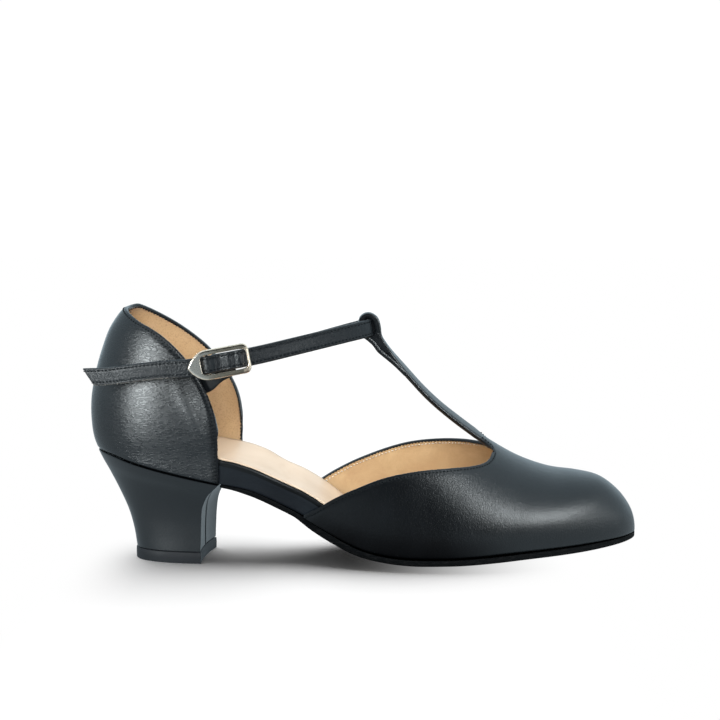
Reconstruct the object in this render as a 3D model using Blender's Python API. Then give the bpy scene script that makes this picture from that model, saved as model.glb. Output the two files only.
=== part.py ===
"""Ballroom dance shoe for the right foot: closed toe, T-bar, ankle strap and flared heel.

+X points to the toe, +Y to the inner side of the foot and +Z up; the floor is z = 0.
Sizes are in millimetres and become metres when a mesh is made.
"""
from collections import namedtuple
import math

import bmesh
import bpy
from mathutils import Vector

MM = 0.001

# Driving sizes
SHOE_LENGTH = 240.0       # heel curve to toe, level
GAP = 0.3                 # between pieces that meet
VAMP_WALL = 1.8           # leather and lining
COUNTER_WALL = 2.2        # leather, stiffener and lining
BOARD_INSET = 2.7         # the board stands inside the upper's walls
SOCK = 1.2
SOCK_INSET = 3.5

# Back part: its axis turns a little to the outside, as a foot does
HEEL_TURN = math.radians(6.0)
HEEL_BACK_X = -SHOE_LENGTH / 2
HEEL_BACK_Y = 4.5
COUNTER_REACH = 61.0      # heel curve to the counter's front edge
SEAT_ROUND = 2.6          # roundness of the heel in plan; 2 is an ellipse
LIFT = 5.0                # heel tip thickness
LIFT_PROUD = 0.4

# Throat and T-bar
THROAT_X = 55.2
BAR_HALF = 4.6
BAR_FILLET = 6.0
BAR_CROWN = 0.3
BAR_ROLL = 0.5            # the bar leans to the outer side
BAR_Y = 0.4
LEAN_TOP = 98.0           # the lean fades out toward the loop
LEAN_FADE = 14.0
FOLD_START = 1.5
FOLD_LENGTH = 13.0        # the folded end lies this far down the bar's back
FILLET_RUN = 7.5

# Ankle strap and buckle
STRAP_WIDTH = 7.6
STRAP_THICK = 1.8
STRAP_LEAN = -0.14        # the strap's upper edge leans back
BUCKLE_LENGTH = 26.6
BUCKLE_WIDTH = 12.6
BUCKLE_PLATE = 1.3
BUCKLE_DOME = 0.4
CORNER_RUN = 2.6          # eased front corners, along and up
CORNER_RISE = 3.4
POINT_LENGTH = 8.6
WINDOW_BACK = -7.4
WINDOW_FRONT = 11.4
WINDOW_HALF = 4.2
BUCKLE_BAR = 1.4
BAR_PLACE = -4.6
BAR_DEEP = 0.3 - STRAP_THICK / 2 - GAP    # top of the bar the strap passes over
TAB_WIDTH = 7.0
TAB_THICK = 1.2

# Mesh density
TOE_ROWS = 16
WING_ROWS = 14
WING_COLUMNS = 8
BAR_COLUMNS = 2
BAR_ROWS = 30
BAR_STEPS = 6
FILLET_STEPS = 4
TOE_SPLIT = 0.26          # share of a half section that runs into the bar's columns
COUNTER_COLUMNS = 14
COUNTER_ROWS = 10
HEEL_ROWS = 14
HEEL_COLUMNS = 12
HEEL_CAP = 4
STRAP_STEPS = 4

# Colours
BLACK = (0.012, 0.012, 0.014)
STRAP_BLACK = (0.013, 0.013, 0.015)
SOLE_BLACK = (0.016, 0.015, 0.015)
BEIGE = (0.62, 0.50, 0.36)
TIP_GREY = (0.035, 0.034, 0.034)
SILVER = (0.72, 0.72, 0.74)

# Toe sections of the upper's outside, shank to toe: half-widths at the feather line
# either side of the ridge, feather height, rise to the ridge, how far the wall swells
# past the feather, the height of that swell, and the roundness of the arch above it.
Section = namedtuple(
    "Section", "x ridge_y lateral medial feather rise tuck belly fullness")
SECTIONS = [
    Section(-30.0, 1.5, 25.1, 19.0, 24.2, 68.0, 0.4, 10.0, 2.00),
    Section(-16.0, 1.5, 27.5, 20.9, 15.8, 72.0, 1.2, 10.0, 2.00),
    Section(-2.0, 1.5, 30.7, 24.3, 9.1, 75.0, 2.0, 10.0, 1.95),
    Section(12.0, 1.5, 33.5, 28.9, 6.3, 73.5, 2.8, 10.0, 1.88),
    Section(26.0, 1.5, 35.3, 32.5, 5.9, 66.0, 3.2, 10.0, 1.80),
    Section(40.0, 1.6, 36.0, 34.4, 6.3, 55.7, 3.2, 9.5, 1.72),
    Section(54.0, 2.0, 35.3, 34.0, 7.2, 45.2, 3.0, 9.0, 1.68),
    Section(68.0, 2.5, 33.1, 31.7, 8.2, 36.2, 2.6, 8.5, 1.76),
    Section(82.0, 2.9, 29.8, 28.3, 9.0, 30.4, 2.2, 8.0, 1.95),
    Section(94.0, 3.0, 25.4, 24.2, 9.7, 28.0, 1.8, 7.5, 2.10),
    Section(104.0, 3.0, 20.4, 19.6, 10.3, 25.0, 1.3, 6.5, 2.20),
    Section(111.5, 3.0, 15.4, 15.0, 10.8, 19.2, 0.9, 5.0, 2.20),
    Section(116.5, 3.0, 10.0, 9.9, 11.2, 12.6, 0.5, 3.0, 2.15),
    Section(119.1, 3.0, 4.9, 4.9, 11.4, 6.6, 0.2, 1.2, 2.10),
    Section(119.9, 3.0, 0.0, 0.0, 11.5, 0.0, 0.0, 0.0, 2.10),
]

# Edges of the open sides, from the shank to the throat; the last row only guides the turn
Edge = namedtuple("Edge", "x z")
LATERAL_EDGE = [
    Edge(-26.6, 22.8), Edge(-21.0, 25.9), Edge(-13.0, 31.0), Edge(-4.0, 35.5),
    Edge(8.0, 40.4), Edge(22.0, 43.3), Edge(36.0, 44.2), Edge(46.0, 44.5),
    Edge(52.2, 45.6), Edge(THROAT_X, 48.6), Edge(52.2, 51.0),
]
MEDIAL_EDGE = [
    Edge(-29.0, 24.8), Edge(-23.0, 28.0), Edge(-15.0, 33.0), Edge(-5.0, 38.2),
    Edge(7.0, 43.3), Edge(20.0, 46.9), Edge(34.0, 48.9), Edge(45.0, 49.6),
    Edge(51.8, 49.4), Edge(THROAT_X, 49.3), Edge(51.8, 51.6),
]

# Outer face of the T-bar in side view: up the instep, then round the ankle strap
T_BAR = [
    Edge(51.7, 53.9), Edge(46.5, 57.6), Edge(40.4, 62.2), Edge(33.3, 67.9), Edge(26.4, 74.4),
    Edge(20.0, 81.4), Edge(15.0, 87.2), Edge(10.6, 92.7), Edge(7.7, 97.6), Edge(7.1, 102.2),
    Edge(5.6, 106.2), Edge(1.6, 108.3), Edge(-2.3, 106.5), Edge(-3.4, 101.6), Edge(-2.5, 96.9),
    Edge(1.7, 94.5),
]
FOLD_TOP = Edge(8.6, 96.5)  # the folded end starts below this point of the bar

# Counter outside, by height: set-in of the heel curve and half-width
Level = namedtuple("Level", "z back half")
COUNTER = [
    Level(34.0, 6.2, 23.8), Level(42.0, 4.4, 24.1), Level(48.0, 3.0, 24.5),
    Level(54.0, 0.9, 25.3), Level(62.0, 0.0, 25.9), Level(70.0, 0.1, 26.0),
    Level(78.0, 1.3, 25.4), Level(86.0, 3.2, 24.3), Level(94.0, 5.7, 22.7),
    Level(101.0, 8.4, 20.8), Level(107.0, 12.2, 18.4), Level(112.0, 16.4, 15.8),
]
# Distances forward from the heel curve: the collar's edge, and the heel seat
Run = namedtuple("Run", "ahead z")
COLLAR = [
    Run(10.0, 112.4), Run(16.0, 111.2), Run(20.0, 109.4), Run(28.0, 104.8), Run(35.0, 100.2),
    Run(41.0, 95.5), Run(46.8, 90.0), Run(52.4, 82.6), Run(56.8, 75.0), Run(59.8, 66.4),
    Run(61.0, 57.0), Run(61.4, 50.0),
]
SEAT = [
    Run(0.0, 48.9), Run(6.0, 48.2), Run(13.0, 46.8), Run(22.0, 44.2), Run(33.0, 41.6),
    Run(44.0, 39.3), Run(55.0, 37.2), Run(62.0, 35.9),
]

# Bottom: sag of the middle, lift of the inner side, board and sock, sole, and sole edge
Bed = namedtuple("Bed", "x crown cant stack sole lip")
BED = [
    Bed(-124.0, 0.0, 0.0, 10.5, 0.7, -1.6), Bed(-64.0, 0.0, 1.6, 11.6, 0.7, -1.6),
    Bed(-48.0, 0.6, 3.0, 11.0, 1.8, -1.6), Bed(-36.0, 1.0, 3.2, 10.2, 2.4, -1.5),
    Bed(-22.0, 1.6, 2.6, 8.8, 2.4, -0.8), Bed(-8.0, 2.3, 1.6, 7.0, 2.4, 0.0),
    Bed(6.0, 3.1, 0.8, 5.6, 2.4, 0.3), Bed(20.0, 3.8, 0.2, 4.8, 2.4, 0.4),
    Bed(34.0, 4.0, 0.0, 4.6, 2.4, 0.4), Bed(48.0, 3.7, 0.0, 4.6, 2.4, 0.4),
    Bed(70.0, 2.9, 0.0, 4.6, 2.4, 0.3), Bed(95.0, 2.0, 0.0, 4.6, 2.4, 0.1),
    Bed(112.0, 0.9, 0.0, 4.6, 2.4, 0.0), Bed(124.0, 0.0, 0.0, 4.6, 2.4, -0.1),
]

# Heel, seat to tip: share of the drop, back and breast distances, half-width, breast hollow
Rung = namedtuple("Rung", "drop back front half hollow")
HEEL = [
    Rung(0.00, 2.9, 60.7, 24.4, 0.0), Rung(0.10, 5.1, 57.4, 22.4, 0.6),
    Rung(0.22, 8.0, 53.9, 19.6, 1.2), Rung(0.40, 12.0, 51.9, 17.0, 1.5),
    Rung(0.60, 15.8, 51.4, 15.4, 1.5), Rung(0.80, 18.5, 51.1, 14.7, 1.5),
    Rung(1.00, 20.0, 50.8, 14.3, 1.2),
]

# Middle of the ankle strap: inner side to the loop, loop to buckle, and the loose tail
Place = namedtuple("Place", "x y z")
STRAP_INNER = [
    Place(-47.0, 20.9, 88.0), Place(-38.0, 21.2, 90.1), Place(-27.0, 19.4, 92.8),
    Place(-11.0, 13.2, 97.6), Place(0.2, 6.6, 100.9), Place(2.9, 0.0, 101.5),
]
STRAP_OUTER = [
    Place(0.2, -6.6, 101.0), Place(-10.7, -14.0, 98.8), Place(-27.4, -22.0, 95.2),
    Place(-40.0, -26.2, 92.4),
]
BUCKLE_BACK = Place(-73.6, -30.2, 86.1)
BUCKLE_FRONT = Place(-48.0, -28.6, 90.8)
Weave = namedtuple("Weave", "along out")
STRAP_IN_BUCKLE = [
    Weave(12.6, -0.1), Weave(6.6, 0.6), Weave(0.6, -0.2), Weave(-4.6, 0.3), Weave(-8.6, -0.1),
    Weave(-12.4, -0.2),
]
STRAP_TAIL = [
    Place(-77.0, -29.6, 85.9), Place(-88.0, -28.2, 85.0), Place(-101.0, -25.8, 83.2),
    Place(-109.0, -23.5, 82.1), Place(-116.6, -21.2, 81.6),
]
TAIL_SLANT = 2.4          # the tail's cut end runs back at its upper corner
STRAP_EASE = 0.8          # room for the counter's lean where the strap is held
TAB_EASE = 0.6
# Where the strap and the buckle's tab lie inside the counter: ahead of the heel curve
STRAP_HOLD = [Run(43.5, 82.0), Run(48.0, 83.0), Run(52.4, 84.1), Run(56.6, 85.4)]
TAB_HOLD = [Run(47.0, 77.2), Run(52.6, 78.2), Run(58.0, 79.6)]
TAB_TURN = Place(-61.8, -24.3, 82.2)


def remove_all():
    for item in list(bpy.data.objects):
        bpy.data.objects.remove(item, do_unlink=True)


def catmull(before, start, end, after, share):
    """A smooth value between start and end, or a row of them."""
    squared = share * share
    cubed = squared * share
    return [
        0.5 * (2 * b + (c - a) * share + (2 * a - 5 * b + 4 * c - d) * squared
               + (3 * b - a - 3 * c + d) * cubed)
        for a, b, c, d in zip(before, start, end, after)
    ]


def blend(rows, place, first=None, last=None):
    """The row at a place counted in rows, with optional guide rows past either end."""
    index = min(max(int(math.floor(place)), 0), len(rows) - 2)
    before = rows[index - 1] if index > 0 else first
    after = rows[index + 2] if index + 2 < len(rows) else last
    if before is None:
        before = [2 * b - c for b, c in zip(rows[index], rows[index + 1])]
    if after is None:
        after = [2 * c - b for b, c in zip(rows[index], rows[index + 1])]
    values = catmull(before, rows[index], rows[index + 1], after, place - index)
    return type(rows[0])(*values)


def find(rows, value, column=0, last=None):
    """The place where a rising column reaches a value."""
    low = 0.0
    high = len(rows) - 1.0
    for step in range(48):
        middle = (low + high) / 2
        if blend(rows, middle, last=last)[column] < value:
            low = middle
        else:
            high = middle
    return (low + high) / 2


def lookup(rows, value):
    return blend(rows, find(rows, value))


def shares(count):
    return [step / count for step in range(count + 1)]


# The toe closes like a nose: the rows past its tip mirror the rows before it
TOE_GUIDE = SECTIONS[-2]._replace(
    lateral=-SECTIONS[-2].lateral, medial=-SECTIONS[-2].medial, rise=-SECTIONS[-2].rise,
    tuck=-SECTIONS[-2].tuck, belly=-SECTIONS[-2].belly)


def section_at(place):
    return blend(SECTIONS, place, last=TOE_GUIDE)


def half_section(row, side):
    """Outside of the upper on one side, from the ridge down to the feather line."""
    reach = row.lateral if side < 0 else row.medial
    wide = reach + row.tuck
    power = 2 / row.fullness
    points = []
    for share in shares(28):
        angle = share * math.pi / 2
        across = wide * math.sin(angle) ** power
        up = row.belly + (row.rise - row.belly) * max(math.cos(angle), 0.0) ** power
        points.append(Vector((row.x, row.ridge_y + side * across, row.feather + up)))
    for share in shares(8)[1:]:
        across = wide - row.tuck * share * share
        up = row.belly * (1 - share)
        points.append(Vector((row.x, row.ridge_y + side * across, row.feather + up)))
    return points


def lengths(points):
    total = [0.0]
    for one, two in zip(points, points[1:]):
        total.append(total[-1] + (two - one).length)
    return total


def along(points, share):
    """The point at a share of a line's length."""
    total = lengths(points)
    aim = share * total[-1]
    for index in range(len(points) - 1):
        if total[index + 1] >= aim and total[index + 1] > total[index]:
            part = (aim - total[index]) / (total[index + 1] - total[index])
            return points[index].lerp(points[index + 1], part)
    return points[-1].copy()


def share_at_height(points, z):
    """How far down a half section a height is reached."""
    total = lengths(points)
    for index in range(len(points) - 1):
        if points[index + 1].z <= z:
            step = points[index].z - points[index + 1].z
            part = (points[index].z - z) / step if step > 0 else 0.0
            reach = total[index] + max(part, 0.0) * (total[index + 1] - total[index])
            return reach / total[-1]
    return 1.0


def heel_place(ahead, across, z):
    """A point given along and across the heel's own axis."""
    turn = Vector((math.cos(HEEL_TURN), -math.sin(HEEL_TURN), 0.0))
    side = Vector((math.sin(HEEL_TURN), math.cos(HEEL_TURN), 0.0))
    return Vector((HEEL_BACK_X, HEEL_BACK_Y, z)) + turn * ahead + side * across


def round_end(angle):
    """Forward and sideways shares of a rounded heel, back to side."""
    power = 2 / SEAT_ROUND
    forward = 1 - max(math.cos(angle), 0.0) ** power
    return forward, math.sin(angle) ** power


def counter_ahead(angle, z):
    level = lookup(COUNTER, z)
    forward, sideways = round_end(angle)
    return level.back + (COUNTER_REACH - level.back) * forward, level.half * sideways


def counter_place(side, angle, z):
    ahead, across = counter_ahead(angle, z)
    return heel_place(ahead, side * across, z)


def counter_angle_at(ahead, z):
    """The angle round the counter that lies a distance ahead of the heel curve."""
    back = lookup(COUNTER, z).back
    left = 1 - (ahead - back) / (COUNTER_REACH - back)
    return math.acos(left ** (SEAT_ROUND / 2))


def inside_counter(side, hold, half):
    """A point inside the counter's wall, clear of it by half a strap."""
    angle = counter_angle_at(hold.ahead, hold.z)
    wall = counter_place(side, angle, hold.z)
    run = (wall - counter_place(side, angle - 0.02, hold.z)).normalized()
    return wall + Vector((run.y, -run.x, 0.0)) * (side * (COUNTER_WALL + GAP + half))


def collar_height(angle):
    low = 45.0
    high = 112.0
    for step in range(40):
        middle = (low + high) / 2
        if lookup(COLLAR, counter_ahead(angle, middle)[0]).z > middle:
            low = middle
        else:
            high = middle
    return (low + high) / 2


def seat_height(angle):
    z = 44.0
    for step in range(12):
        z = lookup(SEAT, counter_ahead(angle, z)[0]).z
    return z


def counter_angle(share):
    """Columns crowd toward the counter's steep front edges."""
    return math.pi / 2 * (1 - (1 - share) ** 2)


# Ribs of the bottom, heel to toe: the feather line's outer and inner points
Rib = namedtuple("Rib", "out_x out_y in_x in_y feather crown cant stack sole lip")


def make_rib(outer, inner, feather):
    bed = lookup(BED, (outer.x + inner.x) / 2)
    return Rib(outer.x, outer.y, inner.x, inner.y, feather, *bed[1:])


def bottom_ribs():
    ribs = []
    for degrees in (0.0, 22.0, 42.0, 58.0, 70.0, 79.0, 85.5, 90.0):
        angle = math.radians(degrees)
        z = seat_height(angle)
        ribs.append(make_rib(counter_place(-1, angle, z), counter_place(1, angle, z), z))
    ribs.append(make_rib(Vector((-47.5, -24.6, 0)), Vector((-43.9, 20.9, 0)), 32.7))
    for row in SECTIONS:
        outer = Vector((row.x, row.ridge_y - row.lateral, 0.0))
        inner = Vector((row.x, row.ridge_y + row.medial, 0.0))
        ribs.append(make_rib(outer, inner, row.feather))
    return ribs


def mirrored(rib):
    return rib._replace(out_x=rib.in_x, out_y=rib.in_y, in_x=rib.out_x, in_y=rib.out_y)


RIBS = bottom_ribs()
HEEL_RIBS = 8
HEEL_END = 0.15           # the bed's blunt end, counted in ribs from the heel curve


def rib_at(place):
    return blend(RIBS, place, first=mirrored(RIBS[1]), last=mirrored(RIBS[-2]))


def rib_edge(place, side, out):
    """A point of the feather line, moved out from the foot."""
    def point(where):
        rib = rib_at(where)
        return Vector((rib.out_x, rib.out_y)) if side < 0 else Vector((rib.in_x, rib.in_y))
    last = len(RIBS) - 1.0
    ahead = point(min(place + 0.02, last))
    behind = point(max(place - 0.02, 0.0))
    run = (ahead - behind).normalized()
    if place <= 0.0:
        run = Vector((math.sin(HEEL_TURN), math.cos(HEEL_TURN))) * side
    if place >= last:
        run = Vector((0.0, -side))
    return point(place) + Vector((run.y, -run.x)) * (-side * out)


def bottom_ring(place, out, ring):
    """One closed cross ring of a bottom piece; ring(rib, across) lists (across, z)."""
    rib = rib_at(place)
    outer = rib_edge(place, -1, out(rib))
    inner = rib_edge(place, 1, out(rib))
    points = []
    for across, z in ring(rib):
        flat = outer.lerp(inner, (across + 1) / 2)
        points.append(Vector((flat.x, flat.y, z)))
    return points + points[:1]


def sag(rib, across):
    return rib.feather - rib.crown * (1 - across * across)


def bed_top(rib, across):
    return rib.feather + rib.stack + rib.cant * (across + 1) / 2 - 0.8 * (1 - across * across)


ACROSS = (-1.0, -0.72, -0.38, 0.0, 0.38, 0.72, 1.0)
SOLE_ACROSS = (-1.0, -0.84, -0.56, -0.29, 0.0, 0.29, 0.56, 0.84, 1.0)


def outsole_ring(rib):
    top = [(across, sag(rib, across) - GAP) for across in SOLE_ACROSS]
    under = [(across, max(z - rib.sole, 0.0)) for across, z in reversed(top)]
    return top + under


def board_ring(rib):
    under = [(across, sag(rib, across)) for across in ACROSS]
    lid = [(across, bed_top(rib, across) - SOCK - GAP) for across in reversed(ACROSS[1:-1])]
    height = bed_top(rib, 1.0) - SOCK - GAP
    inner = [(1.0, height - 2.6), (0.975, height - 0.8), (0.91, height - 0.15)]
    height = bed_top(rib, -1.0) - SOCK - GAP
    outer = [(-0.91, height - 0.15), (-0.975, height - 0.8), (-1.0, height - 2.6)]
    return under + inner + lid + outer


def sock_ring(rib):
    top = [(across, bed_top(rib, across)) for across in reversed(ACROSS)]
    under = [(across, bed_top(rib, across) - SOCK) for across in ACROSS]
    return under + top


def add_patch(bm, rows):
    """A grid of faces through rows of points."""
    wide = len(rows[0])
    made = bmesh.ops.create_grid(
        bm, x_segments=wide - 1, y_segments=len(rows) - 1, size=1.0)
    for index, vert in enumerate(made["verts"]):
        vert.co = rows[index // wide][index % wide] * MM


def material(name, colour, roughness, metallic):
    made = bpy.data.materials.new(name)
    made.use_nodes = True
    shader = made.node_tree.nodes["Principled BSDF"]
    shader.inputs["Base Color"].default_value = (*colour, 1.0)
    shader.inputs["Roughness"].default_value = roughness
    shader.inputs["Metallic"].default_value = metallic
    return made


def add_object(name, bm, colour, roughness, metallic=0.0, closed=True):
    bmesh.ops.remove_doubles(bm, verts=bm.verts, dist=0.00002)
    loose = [edge for edge in bm.edges if edge.is_boundary]
    if closed and loose:
        bmesh.ops.holes_fill(bm, edges=loose, sides=0)
    if closed:
        bmesh.ops.recalc_face_normals(bm, faces=bm.faces)
    mesh = bpy.data.meshes.new(name)
    bm.to_mesh(mesh)
    bm.free()
    mesh.shade_smooth()
    mesh.set_sharp_from_angle(angle=math.radians(40.0))
    made = bpy.data.objects.new(name, mesh)
    made.data.materials.append(material(name, colour, roughness, metallic))
    bpy.context.scene.collection.objects.link(made)
    return made


def add_loft(name, rings, colour, roughness, metallic=0.0):
    bm = bmesh.new()
    add_patch(bm, rings)
    return add_object(name, bm, colour, roughness, metallic)


def thicken(item, wall):
    """Give a surface its wall, inward."""
    modifier = item.modifiers.new("wall", "SOLIDIFY")
    modifier.thickness = wall * MM
    modifier.offset = -1.0
    modifier.use_even_offset = True
    modifier.use_quality_normals = True


def vamp_row(place, outer_split, inner_split):
    """A whole cross row of the toe: outer wing, middle, inner wing."""
    row = section_at(place)
    outer = half_section(row, -1)
    inner = half_section(row, 1)
    wing = shares(WING_COLUMNS)
    bar = shares(BAR_COLUMNS)[1:]
    points = [along(outer, 1 - share * (1 - outer_split)) for share in wing]
    points += [along(outer, outer_split * (1 - share)) for share in bar]
    points += [along(inner, inner_split * share) for share in bar]
    points += [along(inner, inner_split + share * (1 - inner_split)) for share in wing[1:]]
    return points


def wing_rows(first_row, edge, side):
    """Rows of one side wing, from the throat back to the shank."""
    rows = [first_row]
    last = len(edge) - 2.0
    for share in shares(WING_ROWS)[1:]:
        place = last * (1 - share ** 1.25)
        top = blend(edge[:-1], place, last=edge[-1])
        row = section_at(find(SECTIONS, top.x, last=TOE_GUIDE))
        curve = half_section(row, side)
        start = share_at_height(curve, top.z)
        points = [along(curve, 1 - part * (1 - start)) for part in shares(WING_COLUMNS)]
        rows.append(points if side < 0 else points[::-1])
    return rows


def bar_path():
    """Side view of the T-bar's outer face, throat to the folded end."""
    throat = section_at(find(SECTIONS, THROAT_X, last=TOE_GUIDE))
    line = [Edge(THROAT_X, throat.feather + throat.rise)] + T_BAR
    smooth = []
    for index in range((len(line) - 1) * BAR_STEPS + 1):
        at = blend(line, index / BAR_STEPS)
        smooth.append(Vector((at.x, 0.0, at.z)))
    climb = [point for point in smooth if point.x > FOLD_TOP.x and point.z < FOLD_TOP.z]
    climb.reverse()
    total = lengths(climb)
    for index in range(len(climb) - 1):
        if FOLD_START < total[index] < FOLD_LENGTH:
            run = (climb[index + 1] - climb[index]).normalized()
            out = Vector((-run.z, 0.0, run.x))
            smooth.append(climb[index] - out * (2 * VAMP_WALL + GAP))
    return smooth


def limit(value):
    return min(max(value, 0.0), 1.0)


def bar_rows(first_row):
    """Rows of the T-bar, from the throat's fillets to the folded end."""
    path = bar_path()
    total = lengths(path)[-1]
    half = len(first_row) // 2
    middle = first_row[half]
    outer = first_row[0]
    inner = first_row[-1]
    stops = []
    for step in range(1, FILLET_STEPS + 1):
        turn = 1 - math.cos(step / FILLET_STEPS * math.pi / 2)
        stops.append(turn * FILLET_RUN / total)
    stops += [stops[-1] + (1 - stops[-1]) * share for share in shares(BAR_ROWS)[1:]]
    rows = [first_row]
    for stop in stops:
        at = along(path, stop)
        near = limit(1 - (THROAT_X - at.x) / BAR_FILLET)
        flare = 1 - math.sqrt(1 - near * near)
        upright = limit((LEAN_TOP - at.z) / LEAN_FADE) * (1 - near)
        row = []
        for index in range(len(first_row)):
            part = (index - half) / half
            edge = outer if part < 0 else inner
            reach = BAR_HALF + (abs(edge.y - middle.y) - BAR_HALF) * flare
            fall = (BAR_CROWN + (middle.z - edge.z - BAR_CROWN) * near * near) * part * part
            across = BAR_Y + (middle.y - BAR_Y) * near + part * reach
            row.append(Vector((at.x, across, at.z - fall + BAR_ROLL * part * upright)))
        rows.append(row)
    return rows


def make_vamp():
    throat = find(SECTIONS, THROAT_X, last=TOE_GUIDE)
    throat_row = section_at(throat)
    outer_split = share_at_height(half_section(throat_row, -1), LATERAL_EDGE[-2].z)
    inner_split = share_at_height(half_section(throat_row, 1), MEDIAL_EDGE[-2].z)
    tip = len(SECTIONS) - 1.0
    rows = []
    for share in shares(TOE_ROWS):
        place = tip + (throat - tip) * share
        outer = TOE_SPLIT + (outer_split - TOE_SPLIT) * share
        inner = TOE_SPLIT + (inner_split - TOE_SPLIT) * share
        rows.append(vamp_row(place, outer, inner))
    bm = bmesh.new()
    add_patch(bm, rows)
    last = rows[-1]
    add_patch(bm, wing_rows(last[:WING_COLUMNS + 1], LATERAL_EDGE, -1))
    add_patch(bm, wing_rows(last[-WING_COLUMNS - 1:], MEDIAL_EDGE, 1))
    add_patch(bm, bar_rows(last[WING_COLUMNS:-WING_COLUMNS]))
    made = add_object("vamp", bm, BLACK, 0.42, closed=False)
    thicken(made, VAMP_WALL)


def make_counter():
    columns = [counter_angle(share) for share in shares(COUNTER_COLUMNS)]
    rows = []
    for down in shares(COUNTER_ROWS):
        row = []
        for side in (-1, 1):
            angles = reversed(columns) if side < 0 else columns[1:]
            for angle in angles:
                top = collar_height(angle)
                row.append(counter_place(side, angle, top + (seat_height(angle) - top) * down))
        rows.append(row)
    bm = bmesh.new()
    add_patch(bm, rows)
    made = add_object("counter", bm, BLACK, 0.40, closed=False)
    thicken(made, COUNTER_WALL)


def bottom_places(start):
    """Stations of a bottom piece, stopping just short of the closed toe."""
    last = len(RIBS) - 1 - 0.12
    steps = int((last - start) * 2)
    return [start + (last - start) * share for share in shares(steps)]


def make_bottom():
    front = HEEL_RIBS - 1
    breast = front + 0.05
    add_loft(
        "outsole",
        [bottom_ring(place, lambda rib: rib.lip, outsole_ring) for place in bottom_places(breast)],
        SOLE_BLACK, 0.75)
    add_loft(
        "insole_board",
        [bottom_ring(place, lambda rib: -BOARD_INSET, board_ring)
         for place in bottom_places(HEEL_END)],
        BLACK, 0.45)
    add_loft(
        "sock_lining",
        [bottom_ring(place, lambda rib: -SOCK_INSET, sock_ring)
         for place in bottom_places(HEEL_END)],
        BEIGE, 0.60)


def heel_outline(rung, grow):
    """Heel ring in its own axes: outer breast corner, round the back, and across the breast."""
    points = []
    angles = [math.pi / 2 * share for share in shares(HEEL_COLUMNS)]
    for side in (-1, 1):
        for angle in (reversed(angles) if side < 0 else angles[1:]):
            forward, sideways = round_end(angle)
            ahead = rung.back - grow + (rung.front - rung.back + 2 * grow) * forward
            points.append((ahead, side * (rung.half + grow) * sideways))
    for share in [1 - 2 * step for step in shares(HEEL_CAP)[1:-1]]:
        hollow = rung.hollow * (1 - share * share)
        points.append((rung.front + grow - hollow, share * (rung.half + grow)))
    return points + points[:1]


def make_heel():
    rows = []
    for step in shares(HEEL_ROWS):
        drop = step ** 1.2
        rung = lookup(HEEL, drop)
        ring = []
        for ahead, across in heel_outline(rung, 0.0):
            seat = lookup(SEAT, ahead).z - GAP
            ring.append(heel_place(ahead, across, seat + (LIFT + GAP - seat) * drop))
        rows.append(ring)
    bm = bmesh.new()
    add_patch(bm, rows)
    top = rows[0]
    far = 2 * HEEL_COLUMNS
    cap = [top[far:][::-1]]
    for index in range(1, HEEL_COLUMNS + 1):
        cap.append([top[index].lerp(top[far - index], share) for share in shares(HEEL_CAP)])
    add_patch(bm, cap)
    add_object("heel", bm, BLACK, 0.38)
    foot = HEEL[-1]
    levels = ((LIFT, -0.25), (LIFT - 0.4, LIFT_PROUD), (0.7, LIFT_PROUD), (0.0, -0.5))
    rings = []
    for z, grow in levels:
        rings.append([heel_place(ahead, across, z) for ahead, across in heel_outline(foot, grow)])
    add_loft("heel_tip", rings, TIP_GREY, 0.60)


def buckle_axes():
    front = Vector(BUCKLE_FRONT)
    back = Vector(BUCKLE_BACK)
    run = (front - back).normalized()
    up = Vector((0.0, 0.0, 1.0))
    up = (up - run * run.dot(up)).normalized()
    return (front + back) / 2, run, up, up.cross(-run)


def in_buckle(ahead, up, out):
    middle, run, rise, face = buckle_axes()
    return middle + run * ahead + rise * up + face * out


def strap_line():
    """Middle of the ankle strap, inner end to loose tail."""
    points = []
    for hold in STRAP_HOLD:
        points.append(inside_counter(1, hold, STRAP_THICK / 2 + STRAP_EASE))
    points += [Vector(place) for place in STRAP_INNER + STRAP_OUTER]
    points += [in_buckle(weave.along, 0.0, weave.out) for weave in STRAP_IN_BUCKLE]
    points += [Vector(place) for place in STRAP_TAIL]
    rows = [Place(*point) for point in points]
    last = len(rows) - 1
    return [Vector(blend(rows, last * share)) for share in shares(last * STRAP_STEPS)]


def band_ring(middle, run, up, wide, thick, slant=0.0):
    """A flat strap's cross ring with eased corners."""
    rise = (up - run * run.dot(up)).normalized()
    face = rise.cross(run)
    ease = thick * 0.28
    corners = (
        (wide / 2, thick / 2 - ease), (wide / 2 - ease, thick / 2),
        (-wide / 2 + ease, thick / 2), (-wide / 2, thick / 2 - ease),
        (-wide / 2, -thick / 2 + ease), (-wide / 2 + ease, -thick / 2),
        (wide / 2 - ease, -thick / 2), (wide / 2, -thick / 2 + ease))
    ring = []
    for high, out in corners:
        ring.append(middle + rise * high + face * out + run * (slant * high / (wide / 2)))
    return ring + ring[:1]


def make_strap():
    line = strap_line()
    up = Vector((STRAP_LEAN, 0.0, 1.0))
    rings = []
    for index, middle in enumerate(line):
        run = (line[min(index + 1, len(line) - 1)] - line[max(index - 1, 0)]).normalized()
        near_end = limit(1 - (len(line) - 1 - index) / (2 * STRAP_STEPS))
        rings.append(band_ring(
            middle, run, up, STRAP_WIDTH, STRAP_THICK, TAIL_SLANT * near_end))
    add_loft("ankle_strap", rings, STRAP_BLACK, 0.42)


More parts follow.
